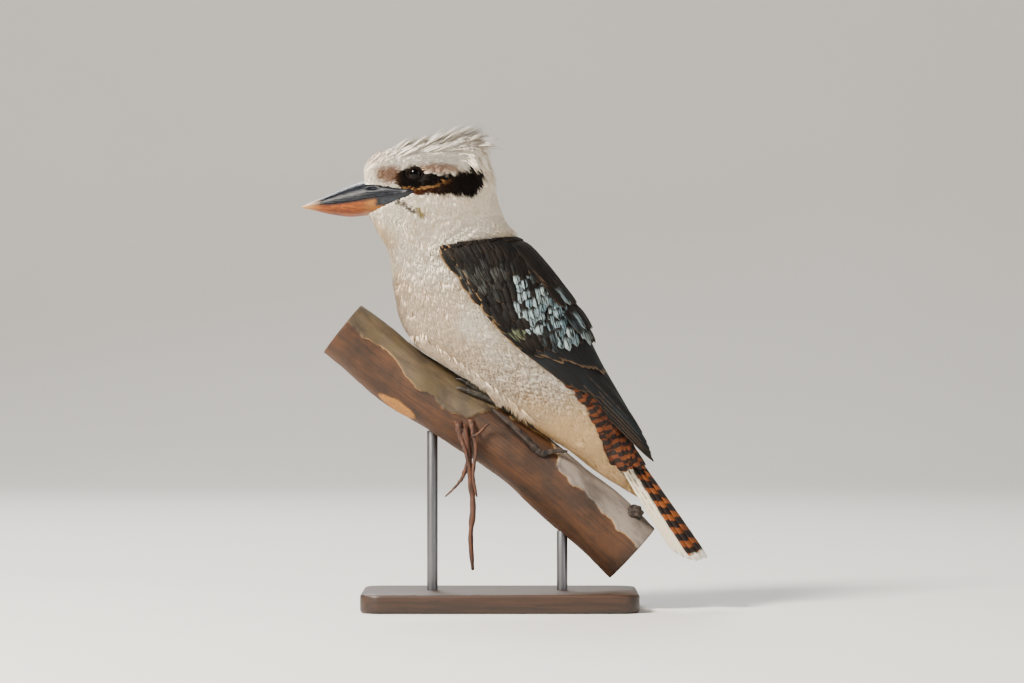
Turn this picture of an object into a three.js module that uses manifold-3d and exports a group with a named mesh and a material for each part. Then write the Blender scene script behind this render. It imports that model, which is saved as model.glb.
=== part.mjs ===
// A laughing kookaburra sitting along a sloping gum branch, life size, on a small display stand.
// Millimetres, +Z up, the bird faces -X, and its left side is towards -Y.
// The origin is the centre of the underside of the stand's base.
import * as THREE from 'three';
import { mergeVertices } from 'three/addons/utils/BufferGeometryUtils.js';
import Module from 'manifold-3d';

const wasm = await Module();
wasm.setup();

// Driving sizes of the stand and the perch
const deck = 14;
const baseLength = 204;
const baseWidth = 118;
const rodRadius = 4;
const rodPlaces = [-50, 46];
const branchRadius = 23.5;
const branchSides = 20;
const gap = 0.3;
const sliver = 0.04;

// Driving sizes of the bird
const eyeRadius = 7.4;
const eyeCentre = [-62, 18.9, 321];
const tailLength = 141;
const tailSlope = 55;
const tailRoll = 7;
const featherThickness = 0.8;
const LEFT = -1;
const RIGHT = 1;

const rad = THREE.MathUtils.degToRad;
const mix = THREE.MathUtils.lerp;
const point = (x, y, z) => new THREE.Vector3(x, y, z);

// Turns rings of points into one closed surface. A thin ring runs along its upper face and back
// along its lower face, and both faces are then split into triangles the same way.
function closedRings(rings, thin = false) {
  const n = rings[0].length;
  const place = [];
  const index = [];
  rings.forEach((ring) => ring.forEach((p) => place.push(p.x, p.y, p.z)));
  for (let i = 0; i + 1 < rings.length; i++) {
    for (let j = 0; j < n; j++) {
      const k = (j + 1) % n;
      const [a, b, c, d] = [i * n + j, i * n + k, (i + 1) * n + k, (i + 1) * n + j];
      if (thin && j >= n / 2) index.push(a, b, d, b, c, d);
      else index.push(a, b, c, a, c, d);
    }
  }
  const ends = [
    [rings[0], 0, true],
    [rings.at(-1), (rings.length - 1) * n, false],
  ];
  for (const [ring, start, turned] of ends) {
    const face = (a, b, c) => (turned ? index.push(b, a, c) : index.push(a, b, c));
    if (thin) {
      for (let j = 0; j + 1 < n / 2; j++) {
        face(start + j, start + j + 1, start + n - 2 - j);
        face(start + j, start + n - 2 - j, start + n - 1 - j);
      }
    } else {
      const middle = ring.reduce((sum, p) => sum.add(p), point(0, 0, 0)).divideScalar(n);
      const m = place.length / 3;
      place.push(middle.x, middle.y, middle.z);
      for (let j = 0; j < n; j++) face(start + j, start + ((j + 1) % n), m);
    }
  }
  const geometry = new THREE.BufferGeometry();
  geometry.setAttribute('position', new THREE.Float32BufferAttribute(place, 3));
  geometry.setIndex(index);
  return geometry;
}

// A closed geometry as a solid, whichever way its faces were wound
function solid(geometry) {
  const bare = geometry.index ? geometry.toNonIndexed() : geometry.clone();
  bare.deleteAttribute('normal');
  bare.deleteAttribute('uv');
  const merged = mergeVertices(bare, 1e-4);
  const make = (triVerts) =>
    new wasm.Manifold(
      new wasm.Mesh({ numProp: 3, vertProperties: merged.attributes.position.array, triVerts })
    );
  const triVerts = new Uint32Array(merged.index.array);
  const made = make(triVerts);
  if (made.volume() > 0) return made;
  for (let i = 0; i < triVerts.length; i += 3) {
    [triVerts[i + 1], triVerts[i + 2]] = [triVerts[i + 2], triVerts[i + 1]];
  }
  return make(triVerts);
}

const tube = (rings) => solid(closedRings(rings));
const blade = (rings) => solid(closedRings(rings, true));
const join = (solids) => wasm.Manifold.union(solids);
const cut = (body, ...tools) => tools.reduce((left, tool) => left.subtract(tool), body);
const largest = (body) => body.decompose().reduce((a, b) => (a.volume() > b.volume() ? a : b));
const mergeSlivers = (body) => body.asOriginal().simplify(sliver);

// Smooth values between rows of numbers, at a fractional row
function smoothRow(rows, s) {
  const i = Math.min(Math.max(Math.floor(s), 0), rows.length - 2);
  const t = s - i;
  const row = (k) => rows[Math.min(Math.max(k, 0), rows.length - 1)];
  const [p0, p1, p2, p3] = [i - 1, i, i + 1, i + 2].map(row);
  return p1.map((_, c) => {
    const a = 2 * p1[c];
    const b = p2[c] - p0[c];
    const d = 2 * p0[c] - 5 * p1[c] + 4 * p2[c] - p3[c];
    const e = -p0[c] + 3 * p1[c] - 3 * p2[c] + p3[c];
    return 0.5 * (a + b * t + d * t * t + e * t * t * t);
  });
}

// Each row is a slice of the bird: back x, back z, keel x, keel z, half width
const bodyRows = [
  [-100, 317, -98.5, 294, 9],
  [-100, 329, -96.5, 289, 12],
  [-88, 338, -93, 283, 14.5],
  [-70, 341.5, -91, 279, 19],
  [-45, 345, -88, 274, 26.5],
  [-18, 343, -84.5, 268.5, 31],
  [-6, 320, -82, 261.5, 33],
  [3, 290, -80.5, 252, 36],
  [23, 261, -78.5, 234, 43.5],
  [50, 219, -67.5, 202, 49.5],
  [70, 176, -24, 171, 43.5],
  [84, 147, 28, 131.5, 30],
  [88, 128, 51, 117, 21],
  [91, 110, 72, 101, 14],
  [99, 95, 93, 88, 5],
];
const HEAD_END = 6;
const NECK_END = 7.6;
const BODY_END = bodyRows.length - 1;

// The outer skin that the folded wing lies on, from the shoulder to the wing's tip
const wingRows = [
  [8, 276, -83, 262, 41],
  [24.5, 264.5, -79, 240, 47],
  [60, 219.5, -61.5, 193, 54],
  [80, 180.5, 0, 157, 44.5],
  [97.5, 149, 39, 123, 27.5],
  [119, 113, 93.5, 96.5, 16],
];

// A point on a sliced form: s runs along the rows, turn goes from the back (0) by the left side (90),
// and lift is the height above the skin.
function skinPoint(rows, s, turn, lift = 0, roundness = 0.92) {
  const [bx, bz, kx, kz, half] = smoothRow(rows, s);
  const c = Math.cos(rad(turn));
  const q = Math.sin(rad(turn));
  const up = point(bx - kx, 0, bz - kz).multiplyScalar(0.5);
  const depth = up.length();
  const bend = (v) => Math.sign(v) * Math.abs(v) ** roundness;
  const out = point((up.x / depth) * (c / depth), -q / half, (up.z / depth) * (c / depth)).normalize();
  return point((bx + kx) / 2, 0, (bz + kz) / 2)
    .addScaledVector(up, bend(c))
    .add(point(0, -half * bend(q), 0))
    .addScaledVector(out, lift);
}

const bodyPoint = (s, turn, lift) => skinPoint(bodyRows, s, turn, lift);
const wingPoint = (s, turn, lift) => skinPoint(wingRows, s, turn, lift, 1);

function bodyLength(from, to, steps, sides, lift = 0, trim = [0, 0]) {
  const rings = [];
  for (let i = 0; i <= steps; i++) {
    const s = mix(from, to, i / steps);
    rings.push(Array.from({ length: sides }, (_, j) => bodyPoint(s, (360 * j) / sides, lift)));
  }
  const shift = (ring, next, by) => {
    const step = next[0].clone().add(next[sides / 2]).sub(ring[0]).sub(ring[sides / 2]).normalize();
    ring.forEach((p) => p.addScaledVector(step, by));
  };
  if (trim[0]) shift(rings[0], rings[1], trim[0]);
  if (trim[1]) shift(rings.at(-1), rings.at(-2), trim[1]);
  return tube(rings);
}

// The perch: a gently waving branch, with lumps, whose points are in the x, z plane
const branchLine = new THREE.CatmullRomCurve3([
  point(-117, 0, 207),
  point(-74, 0, 173),
  point(-30, 0, 144),
  point(0, 0, 124.5),
  point(37, 0, 95),
  point(74, 0, 63.5),
  point(98, 0, 41.5),
]);

function branchPoint(t, turn, lift = 0) {
  const centre = branchLine.getPointAt(t);
  const along = branchLine.getTangentAt(t);
  const up = point(-along.z, 0, along.x);
  if (up.z < 0) up.negate();
  const lump = 1 + 0.035 * Math.sin(9 * t + 2 * rad(turn)) + 0.025 * Math.sin(23 * t - 3 * rad(turn));
  const r = branchRadius * lump * mix(0.97, 1.05, t) + lift;
  return centre.addScaledVector(up, r * Math.cos(rad(turn))).add(point(0, -r * Math.sin(rad(turn)), 0));
}

function branch(lift = 0, reach = 0) {
  const rings = [];
  const steps = 22;
  for (let i = 0; i <= steps; i++) {
    const ring = (_, j) => branchPoint(i / steps, (360 * j) / branchSides, lift);
    rings.push(Array.from({ length: branchSides }, ring));
  }
  if (reach) {
    const along = branchLine.getTangentAt(0);
    rings[0].forEach((p) => p.addScaledVector(along, -reach));
    rings.at(-1).forEach((p) => p.addScaledVector(along, reach));
  }
  return tube(rings);
}

// What stands off the branch: a dead stub, a knot, and a strip of bark that hangs from its near side
const stubLine = [point(26, -13, 111), point(37, -16.5, 115.5), point(50, -18, 117)];
const knotPlace = [0.93, 24];
const stripWidths = [7, 3.5];
const stripLines = [
  [[-26, 139], [-23.5, 122], [-21, 98], [-19.5, 76], [-21.5, 54], [-20, 30]],
  [[-22.5, 110], [-27, 99], [-33, 91], [-40, 84]],
];

const knot = () => {
  const centre = branchPoint(knotPlace[0], knotPlace[1], -1);
  return ball([centre.x, centre.y, centre.z], 6.5, [1, 1, 1], 6, 10);
};

// A flat strip that hangs in front of the branch along points in the x, z plane
function barkStrip(line, width) {
  const curve = new THREE.CatmullRomCurve3(line.map(([x, z]) => point(x, 0, z)));
  const rings = [];
  const steps = 2 * (line.length - 1);
  for (let i = 0; i <= steps; i++) {
    const t = i / steps;
    const { x, z } = curve.getPoint(t);
    const turn = rad(25 + 70 * Math.sin(3 * t));
    const half = (width / 2) * mix(1, 0.45, t);
    const [dx, dy] = [Math.cos(turn), Math.sin(turn)];
    const y = -branchRadius - 3.5 + 1.5 * Math.sin(5 * t);
    const edge = (across, thick) => point(x + dx * across - dy * thick, y + dy * across + dx * thick, z);
    const face = (rim, ridge) => [edge(-half, rim), edge(0, ridge), edge(half, rim)];
    rings.push([...face(-0.4, -0.9), ...face(0.4, 0.2).reverse()]);
  }
  return blade(rings);
}

// The bill, in slices from inside the face to the tip: x, top z, mouth z, bottom z, half width
const billRows = [
  [-74, 314, 307.5, 301, 20],
  [-84, 315, 305.5, 295.5, 18.6],
  [-98, 317, 303, 291.5, 14.6],
  [-112, 312.5, 300.8, 290.6, 10.7],
  [-126, 306.5, 299.5, 292.4, 7.1],
  [-138, 301.3, 298.6, 295.2, 3.8],
  [-146.5, 297.8, 297.2, 296.6, 0.9],
];

function billHalf(upper, lift = 0) {
  const rings = [];
  const steps = 12;
  const sides = 10;
  for (let i = 0; i <= steps; i++) {
    const [x, top, mouth, bottom, half] = smoothRow(billRows, ((billRows.length - 1) * i) / steps);
    const ring = [];
    for (let j = 0; j <= sides; j++) {
      const turn = Math.PI * (j / sides);
      const side = -Math.cos(turn) * (half + lift);
      const high = Math.sin(turn) ** 0.8;
      const edge = upper ? mouth + gap / 2 - lift : mouth - gap / 2 + lift;
      const far = upper ? top + lift : bottom - lift;
      ring.push(point(x - (i === steps ? lift : 0), side, mix(edge, far, high)));
    }
    rings.push(ring);
  }
  return tube(rings);
}

const ball = (centre, radius, stretch = [1, 1, 1], rows = 8, turns = 12) => {
  const geometry = new THREE.SphereGeometry(radius, turns, rows);
  geometry.scale(...stretch);
  geometry.translate(...centre);
  return solid(geometry);
};

// How many millimetres one unit of b spans on a surface that takes a and b
function spanOf(surface, a, b, step) {
  return surface(a, b + step, 0).distanceTo(surface(a, b - step, 0)) / (2 * step);
}

const roundTip = [[0, 0.7], [0.78, 1], [1, 0.5]];
const longTip = [[0, 0.6], [0.45, 1], [0.88, 0.8], [1, 0.3]];

// One feather: a thin ridged blade on a surface from its root, which is sunk, to its tip
function feather(surface, step, { root, tip, width, lift, tilt = 0.3, outline = roundTip, sunk = 2 }) {
  const rings = outline.map(([t, wide]) => {
    const a = mix(root[0], tip[0], t);
    const b = mix(root[1], tip[1], t);
    const side = (width * wide) / 2 / spanOf(surface, a, b, step);
    const high = lift - sunk * Math.max(0, 1 - t * 3);
    const half = featherThickness / 2;
    const face = (sign) =>
      [-1, 0, 1].map((edge) =>
        surface(a, b + edge * side, high + edge * tilt * wide + sign * half * (edge ? 0.6 : 1))
      );
    return [...face(1), ...face(-1).reverse()];
  });
  return blade(rings);
}

// A tier of feathers side by side: every pair of numbers runs from the first feather to the last
function tier(surface, step, { count, from, to, width, lift, stack = 0, ...shape }) {
  return Array.from({ length: count }, (_, i) => {
    const t = count > 1 ? i / (count - 1) : 0;
    const uneven = 0.5 + 0.5 * Math.sin(7.3 * i + 2 * count);
    const ends = (e) => [mix(e[0][0], e[1][0], t), mix(e[0][1], e[1][1], t)];
    const tip = ends(to);
    tip[0] += 0.05 * (uneven - 0.5) * Math.abs(tip[0] - ends(from)[0]);
    return feather(surface, step, {
      root: ends(from),
      tip,
      width: mix(width[0], width[1], t),
      lift: lift + stack * i,
      ...shape,
    });
  });
}

const coverts = { tilt: 0.8, sunk: 3 };
const scapulars = { tilt: 0.6, sunk: 3 };

// The folded wing's tiers, from the one next to the body outwards. Ends are places on the wing skin:
// how far along it, and degrees down from the back.
const wingTiers = [
  {
    name: 'primaries',
    count: 4,
    from: [[2.6, 82], [2.6, 66]],
    to: [[4.98, 34], [4.55, 20]],
    width: [12, 12],
    lift: -4.6,
    stack: 0.9,
    tilt: 0,
    outline: longTip,
  },
  {
    name: 'secondaries',
    count: 6,
    from: [[2.0, 82], [2.2, 24]],
    to: [[3.25, 72], [4.35, 15]],
    width: [18, 19],
    lift: -2.6,
    tilt: 0.9,
    outline: longTip,
  },
  {
    name: 'greater coverts',
    count: 6,
    from: [[1.4, 88], [1.8, 30]],
    to: [[2.65, 79], [3.15, 26]],
    width: [17, 17],
    lift: -1.2,
    ...coverts,
  },
  {
    name: 'median coverts',
    count: 5,
    from: [[0.9, 90], [1.2, 32]],
    to: [[1.85, 88], [2.5, 26]],
    width: [19, 19],
    lift: -0.2,
    ...coverts,
  },
  {
    name: 'lesser coverts',
    count: 5,
    from: [[0.3, 90], [0.4, 32]],
    to: [[1.1, 92], [1.8, 26]],
    width: [20, 20],
    lift: 0.7,
    ...coverts,
  },
  {
    name: 'rear scapulars',
    count: 3,
    from: [[0.3, 27], [0.3, 13]],
    to: [[2.1, 25], [2.9, 12]],
    width: [14, 14],
    lift: 1.6,
    ...scapulars,
  },
  {
    name: 'front scapulars',
    count: 3,
    from: [[0.03, 30], [0.03, 13]],
    to: [[1.05, 31], [1.4, 12]],
    width: [15, 14],
    lift: 2.4,
    ...scapulars,
  },
];

// The arm under the feathers: a plate on the wing skin, down to the body
function wingArm() {
  const rings = [];
  const steps = 9;
  const across = 6;
  const end = 3.1;
  const low = [[92], [98], [91], [80], [70]];
  for (let i = 0; i <= steps; i++) {
    const s = mix(0.02, end, i / steps);
    const to = smoothRow(low, s)[0];
    const thick = mix(7.5, 2.5, i / steps);
    const ring = [];
    const outer = (j) => -1.9 - 1.2 * (2 * (j / across) - 1) ** 4;
    for (let j = 0; j <= across; j++) ring.push(wingPoint(s, mix(12, to, j / across), outer(j)));
    for (let j = across; j >= 0; j--) ring.push(wingPoint(s, mix(12, to, j / across), outer(j) - thick));
    rings.push(ring);
  }
  return blade(rings);
}

const flip = (body) => body.mirror([0, 1, 0]);

// The tail's own frame: along it, across it, and above it
const tailRoot = point(73, 0, 154.5);
const tailAlong = point(Math.cos(rad(tailSlope)), 0, -Math.sin(rad(tailSlope)));
const tailAcross = point(0, -1, 0).applyAxisAngle(tailAlong, rad(tailRoll));
const tailUp = new THREE.Vector3().crossVectors(tailAlong, tailAcross).negate();
const tailArch = 19;

function tailPoint(along, across, lift) {
  const a = across / tailArch;
  return tailRoot
    .clone()
    .addScaledVector(tailAlong, along)
    .addScaledVector(tailAcross, (tailArch + lift) * Math.sin(a))
    .addScaledVector(tailUp, (tailArch + lift) * Math.cos(a) - tailArch);
}

// A plate in the tail's frame, from rows of how far along, half width, top and bottom
function tailPlate(rows) {
  const across = 6;
  const face = (along, half, lift) =>
    Array.from({ length: across + 1 }, (_, j) => tailPoint(along, mix(-half, half, j / across), lift));
  const ring = ([along, half, top, bottom]) => [
    ...face(along, half, top),
    ...face(along, half, bottom).reverse(),
  ];
  return blade(rows.map(ring));
}

// The tail's fleshy root, and the room that the whole tail takes out of its neighbours
const tailCoreRows = [
  [0, 12, 0.5, -7],
  [14, 14, 1.6, -8],
  [30, 18, 0.8, -9],
  [48, 20.5, -0.8, -8.5],
];
const tailRoomRows = [
  [-gap, 12.4, 0.9, -7.3],
  [13, 14.6, 3, -8.3],
  [32, 21, 3, -9.3],
  [60, 25, 2.8, -9.3],
  [145, 32, 1, -9.3],
];

// Pairs of tail feathers, the middle pair on top and the outer ones lower and shorter,
// and a short tier of coverts over their roots
const tailCoverts = {
  count: 4,
  from: [[8, -8], [8, 8]],
  to: [[50, -13], [50, 13]],
  width: [13, 13],
  lift: 1.3,
  sunk: 3.5,
  tilt: 0.6,
};
function tailFeathers() {
  const pairs = 6;
  const made = [];
  for (const side of [LEFT, RIGHT]) {
    for (let i = 0; i < pairs; i++) {
      made.push(
        feather(tailPoint, 1, {
          root: [32, side * (3.6 + 2.4 * i)],
          tip: [tailLength - 0.6 * i * i, side * (5.2 + 3.4 * i)],
          width: i ? 14 : 17,
          lift: -1.5 * i - (i || side === LEFT ? 0 : 0.75),
          tilt: 0,
          sunk: 0,
          outline: [[0, 0.5], [0.55, 0.95], [0.93, 0.95], [1, 0.5]],
        })
      );
    }
  }
  return [...made, ...tier(tailPoint, 1, tailCoverts)];
}

// A round tapering limb along points with a radius each
function limb(points, radii, sides = 7) {
  const line = new THREE.CatmullRomCurve3(points);
  const steps = Math.ceil((points.length - 1) * 1.5);
  const rings = [];
  for (let i = 0; i <= steps; i++) {
    const t = i / steps;
    const along = line.getTangent(t);
    const across = new THREE.Vector3().crossVectors(along, point(0, 1, 0.2)).normalize();
    const other = new THREE.Vector3().crossVectors(along, across);
    const r = smoothRow(radii.map((v) => [v]), t * (radii.length - 1))[0];
    const centre = line.getPoint(t);
    rings.push(
      Array.from({ length: sides }, (_, j) =>
        centre
          .clone()
          .addScaledVector(across, r * Math.cos((2 * Math.PI * j) / sides))
          .addScaledVector(other, r * Math.sin((2 * Math.PI * j) / sides))
      )
    );
  }
  return tube(rings);
}

// Toes run along the branch: where the foot stands, each toe's length and how far it turns out
const footPlace = 0.475;
const branchTotal = branchLine.getLength();
const toes = [
  { name: 'inner', reach: -24, spread: -15, radius: 2.4 },
  { name: 'middle', reach: -31, spread: 0, radius: 2.7 },
  { name: 'outer', reach: -27, spread: 16, radius: 2.5 },
  { name: 'hind', reach: 21, spread: -4, radius: 2.5 },
];
const footTurn = 29;
const clawLength = 8;

function toePath(toe, from, to, steps, lift) {
  return Array.from({ length: steps + 1 }, (_, i) => {
    const share = mix(from, to, i / steps);
    const place = footPlace + (toe.reach * share) / branchTotal;
    return branchPoint(place, footTurn + toe.spread * share, lift(share));
  });
}

const toeShape = [1.1, 1, 1.06, 0.9, 0.75];
const clawShape = [0.68, 0.56, 0.42, 0.26, 0.09];

const toeSolid = (toe, lift = 0) =>
  limb(
    toePath(toe, 0, 1, toeShape.length - 1, () => toe.radius + 0.5),
    toeShape.map((share) => share * toe.radius + lift)
  );

function clawSolid(toe) {
  const first = 1 + (gap + 0.2) / Math.abs(toe.reach);
  const last = 1 + clawLength / Math.abs(toe.reach);
  const height = (share) => {
    const t = (share - first) / (last - first);
    return 0.6 + toe.radius * (1 - t ** 1.6) + 0.6 * Math.sin(Math.PI * t);
  };
  const path = toePath(toe, first, last, clawShape.length - 1, height);
  return limb(path, clawShape.map((share) => share * toe.radius), 6);
}

// How far the crown's feather tips stand off the skin, at every half slice of the head
const crestRise = [2.5, 2.5, 2.5, 2.5, 3, 3.5, 4.5, 7, 11, 17, 14, 9, 6, 5, 5].map((v) => [v]);

// The shaggy crown: tapered locks that lie back along the head and stand up behind it
function crest() {
  const locks = [];
  const rows = 8;
  for (let i = 0; i < rows; i++) {
    const t = i / (rows - 1);
    const s = mix(1.2, 5.2, t);
    const across = i % 2 ? 7 : 6;
    for (let j = 0; j < across; j++) {
      const side = (2 * (j + 0.5)) / across - 1;
      const turn = side * mix(58, 80, t);
      const uneven = Math.sin(5.1 * i + 3.7 * j);
      const length = mix(10, 22, Math.sin(Math.PI * t * 0.8)) * (1 + 0.12 * uneven);
      const perSlice = bodyPoint(s + 0.1, turn, 0).distanceTo(bodyPoint(s - 0.1, turn, 0)) / 0.2;
      const reach = length / perSlice;
      const stand = smoothRow(crestRise, 2 * (s + reach))[0];
      const rise = stand * (0.3 + 0.7 * Math.cos(rad(turn))) * (1 + 0.12 * uneven);
      const rings = [[0, 1], [0.6, 0.9], [1, 0.12]].map(([k, wide]) => {
        const a = s + reach * k;
        const high = mix(-2.2, rise, k ** 1.2);
        const half = (wide * 9) / 2 / spanOf(bodyPoint, a, turn, 3);
        const edge = (d, h) => bodyPoint(a, turn + d * half, high + h * wide);
        return [edge(-1, 0.3), edge(0, 1), edge(1, 0.3), edge(0, -0.6)];
      });
      locks.push(tube(rings));
    }
  }
  return locks;
}

// A ring of bare skin round the eye
function lid(side) {
  const geometry = new THREE.TorusGeometry(6, 1.1, 4, 12);
  geometry.scale(1.08, 1, 1);
  geometry.rotateX(Math.PI / 2);
  geometry.rotateX(side * rad(8));
  geometry.rotateZ(side * rad(12));
  geometry.translate(eyeCentre[0], side * (eyeCentre[1] + 4.6), eyeCentre[2]);
  return solid(geometry);
}

// Solids
const perchFat = branch(gap, 4);
const neckRoom = bodyLength(HEAD_END, NECK_END, 5, 28, gap);
const bodyFat = bodyLength(HEAD_END, BODY_END, 26, 28, gap);
const tailFat = tailPlate(tailRoomRows);
const nostril = (side) =>
  ball([0, 0, 0], 1.2, [2.4, 1, 0.75], 6, 8).rotate([0, 8, 0]).translate([-92.5, side * 13, 312.4]);
const bills = [cut(billHalf(true), nostril(LEFT), nostril(RIGHT)), billHalf(false)];
const billsFat = [billHalf(true, gap), billHalf(false, gap)];
const eyeBall = (side, lift) => ball([eyeCentre[0], side * eyeCentre[1], eyeCentre[2]], eyeRadius + lift);
const eyes = [LEFT, RIGHT].map((side) => eyeBall(side, 0));
const eyesFat = [LEFT, RIGHT].map((side) => eyeBall(side, gap));

const skull = bodyLength(0, HEAD_END, 14, 28, 0, [0, gap / 2]);
const head = cut(join([skull, ...crest(), lid(LEFT), lid(RIGHT)]), neckRoom, ...billsFat, ...eyesFat);
const neck = bodyLength(HEAD_END, NECK_END, 5, 28, 0, [gap / 2, gap / 2]);
const tail = join([tailPlate(tailCoreRows), ...tailFeathers()]);
const torso = cut(bodyLength(NECK_END, BODY_END, 20, 28, 0, [gap / 2, 0]), tailFat, perchFat);
const wing = cut(join([wingArm(), ...wingTiers.flatMap((t) => tier(wingPoint, 3, t))]), bodyFat, tailFat);

const thigh = (side) =>
  limb(
    [
      point(-2, side * 20, 172),
      point(-5, side * 17, 160),
      branchPoint(footPlace, footTurn, 5).multiply(point(1, -side, 1)),
    ],
    [12, 9, 4.2],
    12
  );
const leftFoot = join(toes.map((toe) => toeSolid(toe)));
const leftFootRoom = join(toes.map((toe) => toeSolid(toe, gap)));
const feet = { left: leftFoot, right: flip(leftFoot) };
const footRooms = { left: leftFootRoom, right: flip(leftFootRoom) };
const legs = {
  left: cut(thigh(LEFT), bodyFat, perchFat, footRooms.left),
  right: cut(thigh(RIGHT), bodyFat, perchFat, footRooms.right),
};

const perch = cut(join([branch(), limb(stubLine, [3.4, 2.4, 1.3]), knot()]), bodyFat);
const strip = cut(join(stripLines.map((line, i) => barkStrip(line, stripWidths[i]))), perchFat);

// The stand
function plinth() {
  const r = 16;
  const [w, d] = [baseLength / 2, baseWidth / 2];
  const shape = new THREE.Shape();
  shape.moveTo(-w + r, -d);
  shape.lineTo(w - r, -d);
  shape.absarc(w - r, -d + r, r, -Math.PI / 2, 0);
  shape.absarc(w - r, d - r, r, 0, Math.PI / 2);
  shape.absarc(-w + r, d - r, r, Math.PI / 2, Math.PI);
  shape.absarc(-w + r, -d + r, r, Math.PI, 1.5 * Math.PI);
  const bevel = 2.5;
  const geometry = new THREE.ExtrudeGeometry(shape, {
    depth: deck - 2 * bevel,
    bevelThickness: bevel,
    bevelSize: bevel,
    bevelOffset: -bevel,
    bevelSegments: 1,
    curveSegments: 4,
  });
  geometry.translate(0, 0, bevel);
  return solid(geometry);
}

function rod(x) {
  const height = 200;
  const geometry = new THREE.CylinderGeometry(rodRadius, rodRadius, height, 20);
  geometry.rotateX(Math.PI / 2);
  geometry.translate(x, 0, deck + gap + height / 2);
  const pieces = cut(solid(geometry), perchFat).decompose();
  const foot = (body) => body.boundingBox().min[2];
  return pieces.reduce((a, b) => (foot(a) < foot(b) ? a : b));
}

// Materials
const finish = (color, roughness, metalness = 0) =>
  new THREE.MeshStandardMaterial({ color, roughness, metalness });
const plumageWhite = finish('#d8cfc2', 0.9);
const plumageDark = finish('#2a211c', 0.8);
const plumageTail = finish('#8a4a24', 0.85);
const hornDark = finish('#22242b', 0.45);
const hornPale = finish('#c98a5a', 0.5);
const eyeBrown = finish('#1c0f08', 0.05);
const footSkin = finish('#7d7f63', 0.7);
const clawBlack = finish('#1d1a17', 0.4);
const gumBark = finish('#8a6a4e', 0.85);
const baseWood = finish('#3a2a20', 0.5);
const rodSteel = finish('#3c3c3e', 0.35, 0.9);

const kookaburra = new THREE.Group();

function add(name, body, material) {
  const mesh = largest(mergeSlivers(body)).getMesh();
  const geometry = new THREE.BufferGeometry();
  geometry.setAttribute('position', new THREE.BufferAttribute(new Float32Array(mesh.vertProperties), 3));
  geometry.setIndex(new THREE.BufferAttribute(new Uint32Array(mesh.triVerts), 1));
  geometry.computeVertexNormals();
  const made = new THREE.Mesh(geometry, material);
  made.name = name;
  kookaburra.add(made);
}

add('head', head, plumageWhite);
add('neck', neck, plumageWhite);
add('torso', torso, plumageWhite);
add('bill_upper', bills[0], hornDark);
add('bill_lower', bills[1], hornPale);
add('eye_left', eyes[0], eyeBrown);
add('eye_right', eyes[1], eyeBrown);
add('wing_left', wing, plumageDark);
add('wing_right', flip(wing), plumageDark);
add('tail', tail, plumageTail);
for (const name of ['left', 'right']) {
  add('leg_' + name, legs[name], plumageWhite);
  add('foot_' + name, cut(feet[name], perchFat, bodyFat), footSkin);
  for (const toe of toes) {
    const claw = clawSolid(toe);
    const cleared = cut(name === 'left' ? claw : flip(claw), perchFat, bodyFat);
    add('claw_' + name + '_' + toe.name, cleared, clawBlack);
  }
}
add('perch', perch, gumBark);
add('perch_bark_strip', strip, gumBark);
add('stand_base', plinth(), baseWood);
rodPlaces.forEach((x, i) => add('stand_rod_' + (i + 1), rod(x), rodSteel));

export default kookaburra;
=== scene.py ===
"""A laughing kookaburra on a cut length of gum branch, dressed over its CAD frame."""
import math

import bpy
import numpy as np
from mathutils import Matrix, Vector, noise


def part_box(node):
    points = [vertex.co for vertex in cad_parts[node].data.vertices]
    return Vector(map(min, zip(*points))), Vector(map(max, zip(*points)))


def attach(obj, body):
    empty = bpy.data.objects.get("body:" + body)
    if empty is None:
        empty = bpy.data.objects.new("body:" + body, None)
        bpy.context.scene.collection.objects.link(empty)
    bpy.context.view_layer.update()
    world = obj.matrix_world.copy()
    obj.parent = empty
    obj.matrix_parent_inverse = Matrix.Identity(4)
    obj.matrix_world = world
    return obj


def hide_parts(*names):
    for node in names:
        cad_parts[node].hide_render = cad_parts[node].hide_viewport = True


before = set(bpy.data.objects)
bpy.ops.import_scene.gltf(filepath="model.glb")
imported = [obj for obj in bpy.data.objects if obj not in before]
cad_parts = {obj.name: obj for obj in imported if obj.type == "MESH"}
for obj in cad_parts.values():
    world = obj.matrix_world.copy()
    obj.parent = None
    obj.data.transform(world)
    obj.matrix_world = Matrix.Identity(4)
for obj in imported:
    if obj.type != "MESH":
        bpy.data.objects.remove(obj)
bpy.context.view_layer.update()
draw = np.random.default_rng(7)

MM = 0.001
LEFT = 1
RIGHT = -1
# Points closer than this are one point, in metres
MERGE = 2e-6

# The forms that the bird is dressed over, in millimetres as in the solids

# Slices of the body: back x, back z, keel x, keel z, half width
BODY_ROWS = np.array([
    [-100, 317, -98.5, 294, 9],
    [-100, 329, -96.5, 289, 12],
    [-88, 338, -93, 283, 14.5],
    [-70, 341.5, -91, 279, 19],
    [-45, 345, -88, 274, 26.5],
    [-18, 343, -84.5, 268.5, 31],
    [-6, 320, -82, 261.5, 33],
    [3, 290, -80.5, 252, 36],
    [23, 261, -78.5, 234, 43.5],
    [50, 219, -67.5, 202, 49.5],
    [70, 176, -24, 171, 43.5],
    [84, 147, 28, 131.5, 30],
    [88, 128, 51, 117, 21],
    [91, 110, 72, 101, 14],
    [99, 95, 93, 88, 5],
], float)
BODY_LAST = len(BODY_ROWS) - 1

# Slices of the surface that the folded wing's feathers lie on, in the same columns
WING_ROWS = np.array([
    [8, 276, -83, 262, 41],
    [24.5, 264.5, -79, 240, 47],
    [60, 219.5, -61.5, 193, 54],
    [80, 180.5, 0, 157, 44.5],
    [97.5, 149, 39, 123, 27.5],
    [119, 113, 93.5, 96.5, 16],
], float)

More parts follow.
